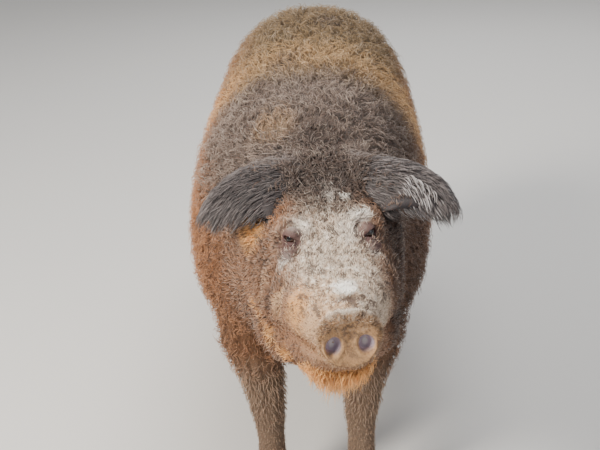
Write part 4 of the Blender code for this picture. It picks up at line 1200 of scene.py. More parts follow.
def swirl(points, scale, phase):
    """A smooth turning field from -1 to 1 over space."""
    x, y, z = (points * scale).T
    return (np.sin(x + 1.7 * np.sin(y * 0.9 + phase)) + np.sin(y * 1.3 + 1.4 * np.sin(z + 2 * phase))
            + np.sin(z * 1.1 + 1.6 * np.sin(x * 0.8 + 3 * phase))) / 3


def along_surface(way, normals):
    """The part of each way that lies in the surface, as a unit vector."""
    return unit(way - normals * (way * normals).sum(1, keepdims=True))


def rotated(ways, normals, angles):
    """Ways in the surface turned about the normals."""
    return ways * np.cos(angles)[:, None] + np.cross(normals, ways) * np.sin(angles)[:, None]


def body_lie(points, normals):
    """The coat's lie on the body: back along it and down its sides, and out near the ears' roots."""
    way = np.tile((0.0, 0.75, -0.25), (len(points), 1))
    way[:, 2] -= 0.9 * np.abs(normals[:, 0])
    way[:, 0] += 0.3 * normals[:, 0]
    for side in (-1, 1):
        root = head_world(EARS[side][0][1], EARS[side][0][0], EARS[side][0][2])
        near = smooth_step(0.13, 0.07, np.linalg.norm(points - root, axis=1))[:, None]
        way = way * (1 - near) + near * unit(EARS[side][2]) * 1.2
    return along_surface(way, normals)


def head_lie(points, normals):
    """The lie on the head: back from the snout, out over the cheeks and down the jaw."""
    side, _, height = head_coordinates(points).T
    out = np.sign(side) * smooth_step(0.02, 0.10, np.abs(side))
    down = smooth_step(0.02, -0.06, height)
    way = AXES[1] * 1.0 + AXES[0] * (0.45 * out)[:, None] - AXES[2] * (0.8 * down)[:, None]
    return along_surface(way, normals)


def strand_curves(root, normal, lie, length, rise, curl, turns, phase, rings, sink=0.002, hook=0.0,
                  flow=1.25):
    """Centre lines of strands: they leave the skin, lean over along the lie and coil as they go."""
    s = np.linspace(0, 1, rings)[None, :, None]
    length, rise, curl, turns, phase, hook = (np.broadcast_to(v, len(root))[:, None, None] for v in
                                              (length, rise, curl, turns, phase, hook))
    across = np.cross(normal, lie)[:, None]
    normal, lie = normal[:, None], lie[:, None]
    up = rise * (1 - (1 - s) ** 2.0) - hook * s ** 3 - sink * (1 - s) ** 6
    angle = phase + 2 * np.pi * turns * s
    coil = curl * np.minimum(s * 2.2, 1)
    return (root[:, None] + lie * (length * s ** flow) + normal * up
            + coil * (across * np.cos(angle) + normal * 0.55 * np.sin(angle))
            - coil * across * np.cos(phase) * 0.3)


def curl_curves(root, normal, lie, length, rise, radius, turns, phase, rings):
    """Centre lines of curls: each rises off the skin and runs round in the coat's plane along the lie."""
    s = np.linspace(0, 1, rings)[None, :, None]
    length, rise, radius, turns, phase = (np.broadcast_to(v, len(root))[:, None, None] for v in
                                          (length, rise, radius, turns, phase))
    across = np.cross(normal, lie)[:, None]
    angle = phase + 2 * np.pi * turns * s
    along = length * s + radius * (np.sin(angle) - np.sin(phase))
    beside = radius * (np.cos(phase) - np.cos(angle))
    up = (rise * (1 - (1 - s) ** 2) * (1 - 0.28 * s ** 3) + 0.30 * radius * np.sin(angle * 1.3) * s
          - 0.002 * (1 - s) ** 6)
    return root[:, None] + lie[:, None] * along + across * beside + normal[:, None] * up


def strand_mesh(name, centres, normals, widths, tones, chart):
    """Closed three-sided strands round the centre lines, tapered to a point, as one mesh."""
    count, rings, _ = centres.shape
    tangent = unit(np.gradient(centres, axis=1))
    side = unit(np.cross(tangent, normals[:, None]))
    up = np.cross(side, tangent)
    s = np.linspace(0, 1, rings)
    taper = np.minimum(0.75 + s * 1.2, 1) * (1 - s ** 2.2) ** 0.8
    wide = widths[:, None] / 2 * taper[None, :]
    angle = np.pi / 2 + 2 * np.pi * np.arange(3) / 3
    outline = side[:, :-1, None] * np.cos(angle)[:, None]
    outline = outline + up[:, :-1, None] * (np.sin(angle) * STRAND_FLATNESS)[:, None]
    body = centres[:, :-1, None] + outline * wide[:, :-1, None, None]
    each = (rings - 1) * 3 + 1
    points = np.concatenate((body.reshape(count, -1, 3), centres[:, -1:]), 1)
    start = (np.arange(count) * each)[:, None]
    quads = []
    for ring in range(rings - 2):
        for k in range(3):
            a, b = ring * 3 + k, ring * 3 + (k + 1) % 3
            quads.append((a, a + 3, b + 3, b))
    last = (rings - 2) * 3
    tris = [(0, 1, 2)] + [(last + k, each - 1, last + (k + 1) % 3) for k in range(3)]
    quad_index = (start[..., None] + np.array(quads)[None]).reshape(-1, 4)
    tri_index = (start[..., None] + np.array(tris)[None]).reshape(-1, 3)
    loops = np.concatenate((quad_index.ravel(), tri_index.ravel())).astype(np.int32)
    starts = np.concatenate((np.arange(len(quad_index)) * 4,
                             len(quad_index) * 4 + np.arange(len(tri_index)) * 3)).astype(np.int32)
    mesh = bpy.data.meshes.new(name)
    mesh.vertices.add(count * each)
    mesh.vertices.foreach_set("co", np.ascontiguousarray(points, dtype=np.float32).ravel())
    mesh.loops.add(len(loops))
    mesh.loops.foreach_set("vertex_index", loops)
    mesh.polygons.add(len(starts))
    mesh.polygons.foreach_set("loop_start", starts)
    mesh.update(calc_edges=True)
    share = np.concatenate((np.repeat(s[:-1], 3), (1.0,)))
    for label, values in (("tone", np.repeat(tones, each)), ("tip", np.tile(share, count))):
        layer = mesh.attributes.new(label, "FLOAT", "POINT")
        layer.data.foreach_set("value", values.astype(np.float32))
    spot = np.stack((np.concatenate((np.tile((-0.5, 0.0, 0.5), rings - 1), (0.0,))), share - 0.5), 1) * PATCH
    flat_map = (chart[:, None] * (1 - PATCH) + PATCH / 2 + spot[None]).reshape(-1, 2)
    layer = mesh.uv_layers.new(name="OFBake")
    layer.data.foreach_set("uv", flat_map[loops].astype(np.float32).ravel())
    made = bpy.data.objects.new(name, mesh)
    bpy.context.scene.collection.objects.link(made)
    return made


def chart_round_body(points):
    """Places on an unwrap of the body: round it and along it."""
    y = points[:, 1]
    centre = np.interp(y - SHIFT[1], TRUNK[::-1, 0], TRUNK[::-1, 1])
    around = (np.arctan2(points[:, 0] - SHIFT[0], centre - points[:, 2]) / (2 * np.pi)) + 0.5
    return np.stack((around, (y - y.min()) / max(np.ptp(y), 1e-6)), 1)


def chart_round_head(points):
    side, along, height = head_coordinates(points).T
    around = np.arctan2(side, -(height + 0.03)) / (2 * np.pi) + 0.5
    return np.stack((around, (along - along.min()) / max(np.ptp(along), 1e-6)), 1)


def chart_round_legs(points):
    """Four strips, one a leg: round the leg and up it."""
    quarter = (points[:, 0] > SHIFT[0]).astype(float) + 2 * (points[:, 1] > 0)
    middle_y = np.where(points[:, 1] > 0, 0.45, -0.37) + SHIFT[1]
    middle_x = np.where(points[:, 0] > SHIFT[0], 0.1, -0.1) + SHIFT[0]
    around = np.arctan2(points[:, 1] - middle_y, points[:, 0] - middle_x) / (2 * np.pi) + 0.5
    high = (points[:, 2] - points[:, 2].min()) / max(np.ptp(points[:, 2]), 1e-6)
    return np.stack(((quarter + around * 0.98) / 4, high), 1)


def coat_piece(name, centres, normals, widths, tones, chart, material):
    made = strand_mesh(name, centres, normals, widths, tones, chart)
    made.data.materials.append(material)
    return finish_piece(made)


def kept_off_ears(middles):
    """Which faces of the skin aren't on an ear, so that the ears get only their own hair."""
    free = np.ones(len(middles), bool)
    for way in (-1, 1):
        grid, _, _ = ear_grid(way, 14, 10, 0.10)
        tree = KDTree(grid.shape[0] * grid.shape[1])
        for k, point in enumerate(grid.reshape(-1, 3)):
            tree.insert(point, k)
        tree.balance()
        near = np.nonzero(np.linalg.norm(middles - grid.mean((0, 1)), axis=1) < 0.15)[0]
        for k in near:
            free[k] = tree.find(middles[k])[2] > 0.0105
    return free


def coat_zones(middles):
    """Weights of body, face and leg hair over the skin's faces."""
    _, along, _ = head_coordinates(middles).T
    z = middles[:, 2]
    design_y = middles[:, 1] - SHIFT[1]
    head = smooth_step(0.380, 0.305, along) * (design_y < -0.40) * (z > 0.34)
    tail = (design_y > 0.62) & (z < 0.62) & (np.abs(middles[:, 0] - SHIFT[0]) < 0.06) & (
        np.linalg.norm(middles[:, None] - tail_place(np.linspace(0, 1, 12))[None], axis=2).min(1) < 0.03)
    leg = smooth_step(0.31, 0.25, z) * (design_y < 0.60)
    body = (1 - head) * (1 - leg) * ~tail
    return body, head, leg * (1 - head), tail


SURFACE = {}


def surface():
    if "skin" not in SURFACE:
        SURFACE["skin"] = Surface(bpy.data.objects["skin"])
        SURFACE["free"] = kept_off_ears(SURFACE["skin"].middles)
        SURFACE["zones"] = coat_zones(SURFACE["skin"].middles)
    return SURFACE["skin"]


def nearest(points, places):
    """The index of the nearest of the places to each point."""
    tree = KDTree(len(places))
    for k, place in enumerate(places):
        tree.insert(place, k)
    tree.balance()
    return np.array([tree.find(point)[1] for point in points])


LAYERS = {
    # name: rings a strand, and factors of its width, length, rise, radius and turns, and its mean tone
    "undercoat": (5, 1.55, 0.85, 0.66, 0.75, 0.55, 0.42),
    "curls": (7, 0.90, 1.00, 0.96, 1.05, 1.00, 0.60),
}


def body_coat():
    """Wool over the body, gathered in small locks: an undercoat, and finer and longer curls over it."""
    sizes = bpy.context.scene.pig_sizes
    draws = draws_for(0)
    skin = surface()
    below = smooth_step(-0.3, -0.8, skin.normals[skin.corners[:, 0]][:, 2])
    weight = SURFACE["zones"][0] * SURFACE["free"] * (1 - 0.55 * below)
    locks = sizes.locks
    lock_root, lock_normal = skin.roots(locks, weight, draws)
    turn = 0.9 * swirl(lock_root, 24, 0.4) + draws.normal(0, 0.8, locks)
    lock_lie = rotated(body_lie(lock_root, lock_normal), lock_normal, turn)
    lock = {"turns": draws.uniform(0.6, 1.2, locks) * np.where(draws.random(locks) < 0.5, -1, 1),
            "phase": draws.uniform(0, 2 * np.pi, locks), "rise": draws.uniform(0.70, 1.0, locks),
            "length": draws.uniform(0.6, 1.3, locks), "radius": draws.uniform(0.6, 1.4, locks),
            "tone": draws.normal(0, 0.13, locks)}
    for layer, (rings, width, length, rise, radius, turns, tone) in LAYERS.items():
        count = getattr(sizes, layer)
        root, normal = skin.roots(count, weight, draws)
        owner = nearest(root, lock_root)
        own = {key: value[owner] for key, value in lock.items()}
        y, z = root[:, 1] - SHIFT[1], root[:, 2]
        neck = smooth_step(-0.20, -0.52, y)
        low = smooth_step(0.50, 0.34, z)
        short = (1 - 0.45 * neck) * (1 - 0.35 * low)
        depth = COAT_DEPTH + (NECK_DEPTH - COAT_DEPTH) * smooth_step(NECK_FADE[0], NECK_FADE[1], y)
        near = draws.normal(0, 0.35, (count, 1))
        lie = rotated(lock_lie[owner], normal, near[:, 0])
        lie = along_surface(lie, normal)
        centres = curl_curves(root, normal, lie, sizes.curl_length * length * own["length"] * short
                              * draws.uniform(0.7, 1.2, count),
                              depth * rise * own["rise"] * (1 - 0.3 * low) * draws.uniform(0.7, 1.08, count),
                              sizes.curl_radius * radius * own["radius"] * (1 - 0.35 * neck)
                              * draws.uniform(0.75, 1.25, count),
                              turns * own["turns"], own["phase"] + draws.normal(0, 0.6, count), rings)
        s = np.linspace(0, 1, rings)[None, :, None]
        centres += (lock_root[owner] - root)[:, None] * (0.35 * s)
        tones = np.clip(tone + own["tone"] + draws.normal(0, 0.20, count), 0, 1)
        widths = sizes.strand * width * draws.uniform(0.75, 1.25, count)
        material = hair_material(layer, 0.66 if layer == "curls" else 0.35, 0.42, 0.58, stray=0.14)
        order = np.argsort(-root[:, 1])
        for part, pick in zip(("hind", "middle", "front"), np.array_split(order, 3)):
            coat_piece(f"{layer}_{part}", centres[pick], normal[pick], widths[pick], tones[pick],
                       chart_round_body(root[pick]), material)


def crown_curls():
    """Longer curls between the ears, that fall over the top of the forehead."""
    draws = draws_for(5)
    skin = surface()
    side, along, height = head_coordinates(skin.middles).T
    near_middle = smooth_step(0.13, 0.08, np.abs(side))
    weight = (smooth_step(0.235, 0.275, along) * smooth_step(0.46, 0.40, along) * near_middle
              * smooth_step(0.02, 0.06, height) * SURFACE["free"])
    count = bpy.context.scene.pig_sizes.crown_curls
    root, normal = skin.roots(count, weight, draws)
    side, along, height = head_coordinates(root).T
    back = smooth_step(0.27, 0.36, along)
    aside = np.sign(side) * 0.8 * smooth_step(0.01, 0.08, np.abs(side))
    way = (AXES[1] * (-0.5 + 0.9 * back)[:, None] + AXES[0] * aside[:, None]
           + draws.normal(0, 0.45, (count, 3)))
    lie = along_surface(way, normal)
    length = (0.010 + 0.012 * back) * draws.uniform(0.6, 1.4, count)
    rise = (0.007 + 0.004 * back) * draws.uniform(0.5, 1.2, count)
    centres = curl_curves(root, normal, lie, length, rise, 0.0052 * draws.uniform(0.6, 1.3, count),
                          draws.uniform(0.5, 1.1, count) * np.where(draws.random(count) < 0.5, -1, 1),
                          draws.uniform(0, 2 * np.pi, count), 7)
    tones = np.clip(draws.normal(0.55, 0.26, count), 0, 1)
    coat_piece("crown_curls", centres, normal, 0.0016 * draws.uniform(0.75, 1.25, count), tones,
               chart_round_head(root), hair_material("crown curls", 0.6, 0.5))


def bare_near_eyes(places):
    """How much hair grows near the eyes: none on the lids, little on the bags below."""
    share = np.ones(len(places))
    for way in (-1, 1):
        share *= smooth_step(0.014, 0.024, np.linalg.norm(places - eye_world(way), axis=1))
        bag = head_world(0.184, way * 0.070, 0.046)
        share *= 0.25 + 0.75 * smooth_step(0.010, 0.022, np.linalg.norm(places - bag, axis=1))
    return share


def face_hair():
    """Short hair on the face, longer towards the poll, the cheeks and the jaw."""
    sizes = bpy.context.scene.pig_sizes
    draws = draws_for(1)
    skin = surface()
    side, along, height = head_coordinates(skin.middles).T
    on_bridge = gauss(side - 0.003, 0.024) * (height > 0)
    bare = 1 - on_bridge * np.maximum(0.8 * gauss(along - 0.054, 0.008), 0.55 * gauss(along - 0.078, 0.012))
    weight = (SURFACE["zones"][1] * SURFACE["free"] * bare_near_eyes(skin.middles)
              * smooth_step(0.010, 0.030, along) * (0.9 + 0.3 * (height > 0)) * bare)
    count = sizes.face_hairs
    root, normal = skin.roots(count, weight, draws)
    side, along, height = head_coordinates(root).T
    long = (0.46 + 0.42 * smooth_step(0.06, 0.20, along) + 0.55 * smooth_step(0.25, 0.34, along)
            + 0.18 * smooth_step(0.07, 0.12, np.abs(side)) + 0.4 * smooth_step(-0.05, -0.12, height))
    length = 0.0120 * long * draws.uniform(0.7, 1.3, count)
    rise = 0.0038 * long * draws.uniform(0.3, 1.3, count)
    lie = rotated(head_lie(root, normal), normal, 0.9 * swirl(root, 60, 1.1) + draws.normal(0, 0.5, count))
    centres = strand_curves(root, normal, lie, length, rise, 0.0012 * long, draws.uniform(0.2, 0.6, count),
                            draws.uniform(0, 6.28, count), 3, 0.001)
    tones = np.clip(draws.normal(0.55, 0.36, count), 0, 1)
    widths = (0.0011 + 0.0005 * long) * draws.uniform(0.8, 1.25, count)
    coat_piece("face_hair", centres, normal, widths, tones, chart_round_head(root),
               hair_material("face hair", 0.95, 0.85, 0.30, 0.65, 0.012))


def disc_bristles():
    """Short pale bristles on the disc, thickest round its rim."""
    draws = draws_for(19)
    skin = surface()
    side, along, height = head_coordinates(skin.middles).T
    ring = np.sqrt((side / 0.050) ** 2 + ((height + 0.002) / 0.046) ** 2)
    holes = np.ones(len(side))
    for way in (-1, 1):
        holes *= np.hypot(side - way * NOSTRIL["spread"], height - NOSTRIL["height"]) > 0.019
    weight = (along < 0.030) * (0.22 + smooth_step(0.70, 1.0, ring)) * holes * (0.6 + (height > 0))
    count = bpy.context.scene.pig_sizes.bristles
    root, normal = skin.roots(count, weight, draws)
    side, along, height = head_coordinates(root).T
    outward = AXES[0] * (side / 0.05)[:, None] + AXES[2] * (height / 0.045)[:, None]
    lie = along_surface(outward + draws.normal(0, 0.4, (count, 3)), normal)
    rim = 0.6 + 0.7 * smooth_step(0.75, 1.0, np.sqrt((side / 0.046) ** 2 + (height / 0.046) ** 2))
    length = 0.0050 * rim * draws.uniform(0.6, 1.4, count)
    rise = 0.0042 * rim * draws.uniform(0.4, 1.3, count)
    centres = strand_curves(root, normal, lie, length, rise, 0.0003, 0.2, 0.0, 3, 0.001)
    tones = np.clip(draws.normal(0.66, 0.28, count), 0, 1)
    coat_piece("disc_bristles", centres, normal, 0.0010 * draws.uniform(0.7, 1.2, count), tones,
               chart_round_head(root), hair_material("disc bristles", 0.85, 0.4, 0.2, 0.5))


def ear_hair(way, name):
    """Long hair on an ear, laid out along it; at the edge it bends round, and at the tip it hooks down."""
    sizes = bpy.context.scene.pig_sizes
    draws = draws_for(3 + way)
    rows, columns = 40, 24
    grid, out, ahead = ear_grid(way, rows, columns, -0.04)
    u = draws.random(sizes.ear_hairs) ** 0.9 * 0.98
    v = draws.random(sizes.ear_hairs)
    outside = draws.random(sizes.ear_hairs) > 1.1 * ear_fold(way, u, v * 2 - 1)
    u, v = u[outside], v[outside]
    count = len(u)
    i, j = (u * (rows - 1)).astype(int), (v * (columns - 1)).astype(int)
    fu, fv = (u * (rows - 1) - i)[:, None], (v * (columns - 1) - j)[:, None]
    root = (grid[i, j] * (1 - fu) * (1 - fv) + grid[i + 1, j] * fu * (1 - fv) + grid[i, j + 1] * (1 - fu) * fv
            + grid[i + 1, j + 1] * fu * fv)
    normal, along = out[i, j], ahead[i, j]
    inner = draws.random(count) < 0.14
    normal = np.where(inner[:, None], -normal, normal)
    root = root + normal * 0.0025
    across = np.cross(along, out[i, j])
    edge = v * 2 - 1
    lie = along_surface(along + across * (edge * 0.35)[:, None] + draws.normal(0, 0.13, (count, 3)), normal)
    tip = smooth_step(0.62, 0.95, u)
    length = (0.028 + 0.012 * tip) * draws.uniform(0.65, 1.15, count)
    rise = 0.0060 * draws.uniform(0.3, 1.3, count)
    hook = (0.004 + (0.030 if way > 0 else 0.012) * tip) * draws.uniform(0.5, 1.2, count)
    hook = np.where(inner, 0.0, hook)
    centres = strand_curves(root, normal, lie, length, rise, 0.0016, draws.uniform(0.2, 0.5, count),
                            draws.uniform(0, 6.28, count), 6, 0.002, hook, 1.05)
    chosen = draws.choice(count, EAR_WISPS, replace=False)
    owner = chosen[nearest(root, root[chosen])]
    pull = 0.50 * np.linspace(0, 1, 6)[None, :, None] ** 0.9
    centres = centres * (1 - pull) + (centres[owner] + (root - root[owner])[:, None] * 0.15) * pull
    pale = smooth_step(0.60, 0.95, u) * (0.22 if way > 0 else 0.12)
    tones = np.clip(draws.uniform(0.0, 0.78, count) + pale * (draws.random(count) < 0.35), 0, 1)
    widths = 0.0014 * draws.uniform(0.7, 1.25, count)
    chart = np.stack((v * 0.48 + 0.5 * inner, u), 1)
    coat_piece(name, centres, normal, widths, tones, chart, ear_hair_material())


def silver_arcs():
    """Long silver hairs that spring from the left ear near its tip and arch over and down round it."""
    draws = draws_for(23)
    rows, columns = 30, 24
    grid, out, ahead = ear_grid(1, rows, columns, 0.0)
    count = bpy.context.scene.pig_sizes.silver_hairs
    u = draws.uniform(0.42, 0.78, count)
    v = draws.uniform(0.52, 0.86, count)
    i, j = (u * (rows - 1)).astype(int), (v * (columns - 1)).astype(int)
    root, normal, along = grid[i, j], out[i, j], ahead[i, j]
    across = np.cross(along, normal)
    lie = along_surface(along + across * 0.55 + draws.normal(0, 0.07, (count, 3)), normal)
    length = 0.038 * draws.uniform(0.75, 1.2, count)
    rise = 0.021 * draws.uniform(0.7, 1.2, count)
    hook = 0.058 * draws.uniform(0.7, 1.15, count)
    centres = strand_curves(root, normal, lie, length, rise, 0.0010, 0.3, 0.0, 8, 0.002, hook, 0.85)
    tones = draws.uniform(0.82, 1.0, count)
    chart = np.stack((v, u), 1)
    coat_piece("silver_arcs", centres, normal, 0.0015 * draws.uniform(0.7, 1.2, count), tones, chart,
               ear_hair_material())


def leg_hair():
    """Short hair down the legs, to the claws."""
    sizes = bpy.context.scene.pig_sizes
    draws = draws_for(8)
    skin = surface()
    weight = SURFACE["zones"][2] * (0.4 + 0.6 * smooth_step(0.02, 0.05, skin.middles[:, 2]))
    count = sizes.leg_hairs
    root, normal = skin.roots(count, weight, draws)
    high = smooth_step(0.12, 0.30, root[:, 2])
    way = np.tile((0.0, 0.25, -1.0), (count, 1))
    lie = rotated(along_surface(way, normal), normal, draws.normal(0, 0.35, count))
    length = (0.009 + 0.018 * high) * draws.uniform(0.7, 1.3, count)
    rise = (0.0026 + 0.006 * high) * draws.uniform(0.4, 1.2, count)
    centres = strand_curves(root, normal, lie, length, rise, 0.0010 + 0.002 * high,
                            draws.uniform(0.2, 0.6, count),
                            draws.uniform(0, 6.28, count), 3, 0.001)
    centres[..., 2] = np.maximum(centres[..., 2], 0.002)
    tones = np.clip(draws.normal(0.45, 0.22, count), 0, 1)
    widths = (0.0014 + 0.0006 * high) * draws.uniform(0.8, 1.2, count)
    coat_piece("leg_hair", centres, normal, widths, tones, chart_round_legs(root),
               hair_material("leg hair", 0.4, 0.45, 0.3, 0.7))


def long_hair(name, root, normal, lie, length, rise, curl, hook, width, material, chart, draws,
              rings=7):
    count = len(root)
    centres = strand_curves(root, normal, lie, length, rise, curl, draws.uniform(0.3, 0.9, count),
                            draws.uniform(0, 6.28, count), rings, 0.002, hook, 1.1)
    tones = draws.random(count)
    widths = width * draws.uniform(0.75, 1.2, count)
    coat_piece(name, centres, normal, widths, tones, chart, material)


def chin_tuft():
    """Wavy rusty hair that hangs from the chin in a round tuft."""
    draws = draws_for(11)
    skin = surface()
    side, along, height = head_coordinates(skin.middles).T
    down = -skin.normals[skin.corners[:, 0]] @ AXES[2]
    weight = (SURFACE["zones"][1] * smooth_step(0.0, 0.5, down) * smooth_step(-0.072, -0.090, height)
              * (0.12 + smooth_step(0.17, 0.12, along)) * smooth_step(0.030, 0.045, along)
              * smooth_step(0.066, 0.044, np.abs(side + 0.004)))
    count = bpy.context.scene.pig_sizes.chin_hairs
    root, normal = skin.roots(count, weight, draws)
    side, along, height = head_coordinates(root).T
    front = smooth_step(0.17, 0.10, along) * smooth_step(0.070, 0.030, np.abs(side + 0.004))
    inwards = ((side + 0.004) * 7)[:, None]
    way = AXES[1] * 0.25 - AXES[2] * 1.0 - AXES[0] * inwards + draws.normal(0, 0.22, (count, 3))
    middle = gauss(side + 0.006, 0.026) * gauss(along - 0.085, 0.03)
    length = (0.012 + 0.025 * front + 0.026 * middle) * draws.uniform(0.70, 1.12, count)
    rise = (0.004 + 0.008 * front) * draws.uniform(0.4, 1.15, count)
    turns = draws.uniform(0.8, 1.7, count) * np.where(draws.random(count) < 0.5, -1, 1)
    centres = curl_curves(root, normal, unit(way), length, rise, 0.0042 * draws.uniform(0.5, 1.2, count),
                          turns,
                          draws.uniform(0, 2 * np.pi, count), 7)
    coat_piece("chin_tuft", centres, normal, 0.0013 * draws.uniform(0.75, 1.2, count), draws.random(count),
               chart_round_head(root), chin_hair_material())


def tail_tassel():
    draws = draws_for(13)
    count = bpy.context.scene.pig_sizes.tail_hairs
    u = draws.uniform(0.02, 0.98, count)
    angle = draws.uniform(0, 2 * np.pi, count)
    middle, ahead = tail_place(u), unit(tail_place(u + 0.01) - tail_place(u))
    flat = unit(np.cross(ahead, (0, 1, 0)))
    normal = flat * np.cos(angle)[:, None] + np.cross(ahead, flat) * np.sin(angle)[:, None]
    root = middle + normal * ((TAIL_RADIUS * (1.25 - 0.65 * u) - 0.004)[:, None])
    brush = smooth_step(0.25, 0.75, u)
    length = (0.020 + 0.050 * brush) * draws.uniform(0.6, 1.15, count) * (1 - 0.25 * smooth_step(0.8, 1, u))
    rise = (0.005 + 0.020 * brush) * draws.uniform(0.2, 1.25, count)
    chart = np.stack((angle / (2 * np.pi), u), 1)
    long_hair("tail_tassel", root, normal, ahead, length, rise, 0.0050, 0.0, 0.0019,
              hair_material("tail hair", 0.5, 0.6), chart, draws, 6)


def cheek_tufts():
    """The golden tuft below the right ear, and longer hair along the edge of the jowls."""
    draws = draws_for(17)
    skin = surface()
    side, along, height = head_coordinates(skin.middles).T
    tuft = gauss(np.linalg.norm(head_coordinates(skin.middles) - GOLD_TUFT, axis=1), 0.026)
    jowl = (smooth_step(0.06, 0.11, np.abs(side)) * smooth_step(0.12, 0.20, along)
            * smooth_step(0.0, -0.05, height))
    weight = SURFACE["zones"][1] * SURFACE["free"] * (tuft * 5 + jowl)
    count = bpy.context.scene.pig_sizes.cheek_hairs
    root, normal = skin.roots(count, weight, draws)
    gold = gauss(np.linalg.norm(head_coordinates(root) - GOLD_TUFT, axis=1), 0.034)
    lie = rotated(head_lie(root, normal), normal, draws.normal(0, 0.30, count))
    lie = along_surface(lie - AXES[2] * (1.6 * gold)[:, None], normal)
    length = (0.010 + 0.024 * gold) * draws.uniform(0.7, 1.2, count)
    rise = (0.0035 + 0.0085 * gold) * draws.uniform(0.4, 1.2, count)
    long_hair("cheek_hair", root, normal, lie, length, rise, 0.0018, 0.003, 0.0013,
              hair_material("cheek hair", 0.5, 0.2, 0.2), chart_round_head(root), draws, 5)


# Operators, in the order that main calls them

class PIG_OT_skin(bpy.types.Operator):
    """Builds the one skin with its folds, lids, nostrils and ears"""
    bl_idname = "pig.skin"
    bl_label = "Skin"

    def execute(self, context):
        finish_piece(build_skin(), FLESH)
        return {"FINISHED"}


class PIG_OT_eyes(bpy.types.Operator):
    """Builds the two eyes, each with a bulged cornea"""
    bl_idname = "pig.eyes"
    bl_label = "Eyes"

    def execute(self, context):
        material = eye_material()
        for way, label in ((-1, "right"), (1, "left")):
            ball = ellipsoid(f"eyeball_{label}", eye_world(way), (EYE["radius"] - 0.0002,) * 3, AXES, 40, 24)
            look = unit(EYE_LOOK * (way, 1, 1)) @ AXES
            points = points_of(ball) - eye_world(way)
            facing = unit(points) @ look
            set_points(ball, eye_world(way) + points * (1 + 0.05 * smooth_step(0.72, 0.9, facing))[:, None])
            ball.data.materials.append(material)
            finish_piece(ball, (f"eye_{label}",))
        return {"FINISHED"}


class PIG_OT_claws(bpy.types.Operator):
    """Gives the claws and dew claws their horn"""
    bl_idname = "pig.claws"
    bl_label = "Claws"

    def execute(self, context):
        material = horn_material()
        for name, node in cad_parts.items():
            if "claw" in name:
                node.data.materials.clear()
                node.data.materials.append(material)
        return {"FINISHED"}


class PIG_OT_curls(bpy.types.Operator):
    """Covers the body in curls"""
    bl_idname = "pig.curls"
    bl_label = "Body curls"

    def execute(self, context):
        body_coat()
        return {"FINISHED"}


class PIG_OT_face_hair(bpy.types.Operator):
    """Covers the face in short hair, with longer tufts on cheeks and chin"""
    bl_idname = "pig.face_hair"
    bl_label = "Face hair"

    def execute(self, context):
        face_hair()
        disc_bristles()
        crown_curls()
        cheek_tufts()
        chin_tuft()
        return {"FINISHED"}


class PIG_OT_ear_hair(bpy.types.Operator):
    """Lays long hair over the ears"""
    bl_idname = "pig.ear_hair"
    bl_label = "Ear hair"

    def execute(self, context):
        ear_hair(-1, "ear_hair_right")
        ear_hair(1, "ear_hair_left")
        silver_arcs()
        return {"FINISHED"}


class PIG_OT_leg_hair(bpy.types.Operator):
    """Covers legs and tail in hair"""
    bl_idname = "pig.leg_hair"
    bl_label = "Leg and tail hair"

    def execute(self, context):
        leg_hair()
        tail_tassel()
        return {"FINISHED"}


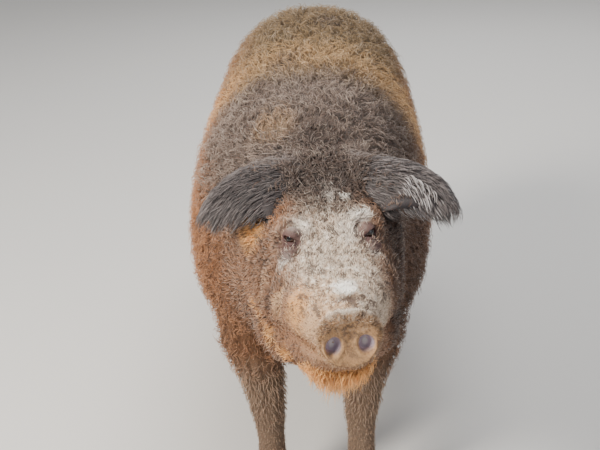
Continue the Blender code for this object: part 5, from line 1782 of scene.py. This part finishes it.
class PIG_OT_stage(bpy.types.Operator):
    """Sets the floor, the lights and the camera"""
    bl_idname = "pig.stage"
    bl_label = "Stage"

    def execute(self, context):
        deselect()
        bpy.ops.mesh.primitive_plane_add(size=16)
        floor = bpy.context.object
        floor.name = "floor"
        floor.data.materials.append(floor_material())
        world = bpy.data.worlds.new("studio")
        context.scene.world = world
        world.use_nodes = True
        world.node_tree.nodes["Background"].inputs["Color"].default_value = SKY
        world.node_tree.nodes["Background"].inputs["Strength"].default_value = SKY_STRENGTH
        for name, place, power, size, tint in LIGHTS:
            light = bpy.data.lights.new(name, "AREA")
            light.energy, light.size, light.color = power, size, tint
            lamp = bpy.data.objects.new(name, light)
            context.scene.collection.objects.link(lamp)
            lamp.location = place
            lamp.rotation_euler = (Vector((0, 0, 0.45)) - Vector(place)).to_track_quat("-Z", "Y").to_euler()
        data = bpy.data.cameras.new("camera")
        data.sensor_width = SENSOR_WIDTH
        data.lens = CAMERA["pixels"] * data.sensor_width / IMAGE_WIDTH
        camera = bpy.data.objects.new("camera", data)
        context.scene.collection.objects.link(camera)
        pose = (Matrix.Rotation(math.radians(CAMERA["yaw"]), 4, "Z")
                @ Matrix.Rotation(math.radians(90 - CAMERA["pitch"]), 4, "X")
                @ Matrix.Rotation(math.radians(CAMERA["roll"]), 4, "Z"))
        camera.matrix_world = Matrix.Translation(CAMERA["place"] + Vector(SHIFT)) @ pose
        context.scene.camera = camera
        return {"FINISHED"}


class PIG_PT_panel(bpy.types.Panel):
    """Buttons for the pig's pieces"""
    bl_label = "Mangalica pig"
    bl_space_type = "VIEW_3D"
    bl_region_type = "UI"
    bl_category = "Pig"

    def draw(self, context):
        for step in STEPS:
            self.layout.operator(step.bl_idname)
        for group in (context.scene.pig_sizes, context.scene.pig_colours):
            for name in group.__annotations__:
                self.layout.prop(group, name)


STEPS = (PIG_OT_skin, PIG_OT_eyes, PIG_OT_claws, PIG_OT_curls, PIG_OT_face_hair, PIG_OT_ear_hair,
         PIG_OT_leg_hair,
         PIG_OT_stage)
CLASSES = (PigColours, PigSizes, *STEPS, PIG_PT_panel)


def register():
    for item in CLASSES:
        bpy.utils.register_class(item)
    bpy.types.Scene.pig_colours = bpy.props.PointerProperty(type=PigColours)
    bpy.types.Scene.pig_sizes = bpy.props.PointerProperty(type=PigSizes)


def unregister():
    del bpy.types.Scene.pig_colours
    del bpy.types.Scene.pig_sizes
    for item in reversed(CLASSES):
        bpy.utils.unregister_class(item)


def main():
    register()
    bpy.ops.pig.skin()
    bpy.ops.pig.eyes()
    bpy.ops.pig.claws()
    bpy.ops.pig.curls()
    bpy.ops.pig.face_hair()
    bpy.ops.pig.ear_hair()
    bpy.ops.pig.leg_hair()
    bpy.ops.pig.stage()


if __name__ == "__main__":
    main()
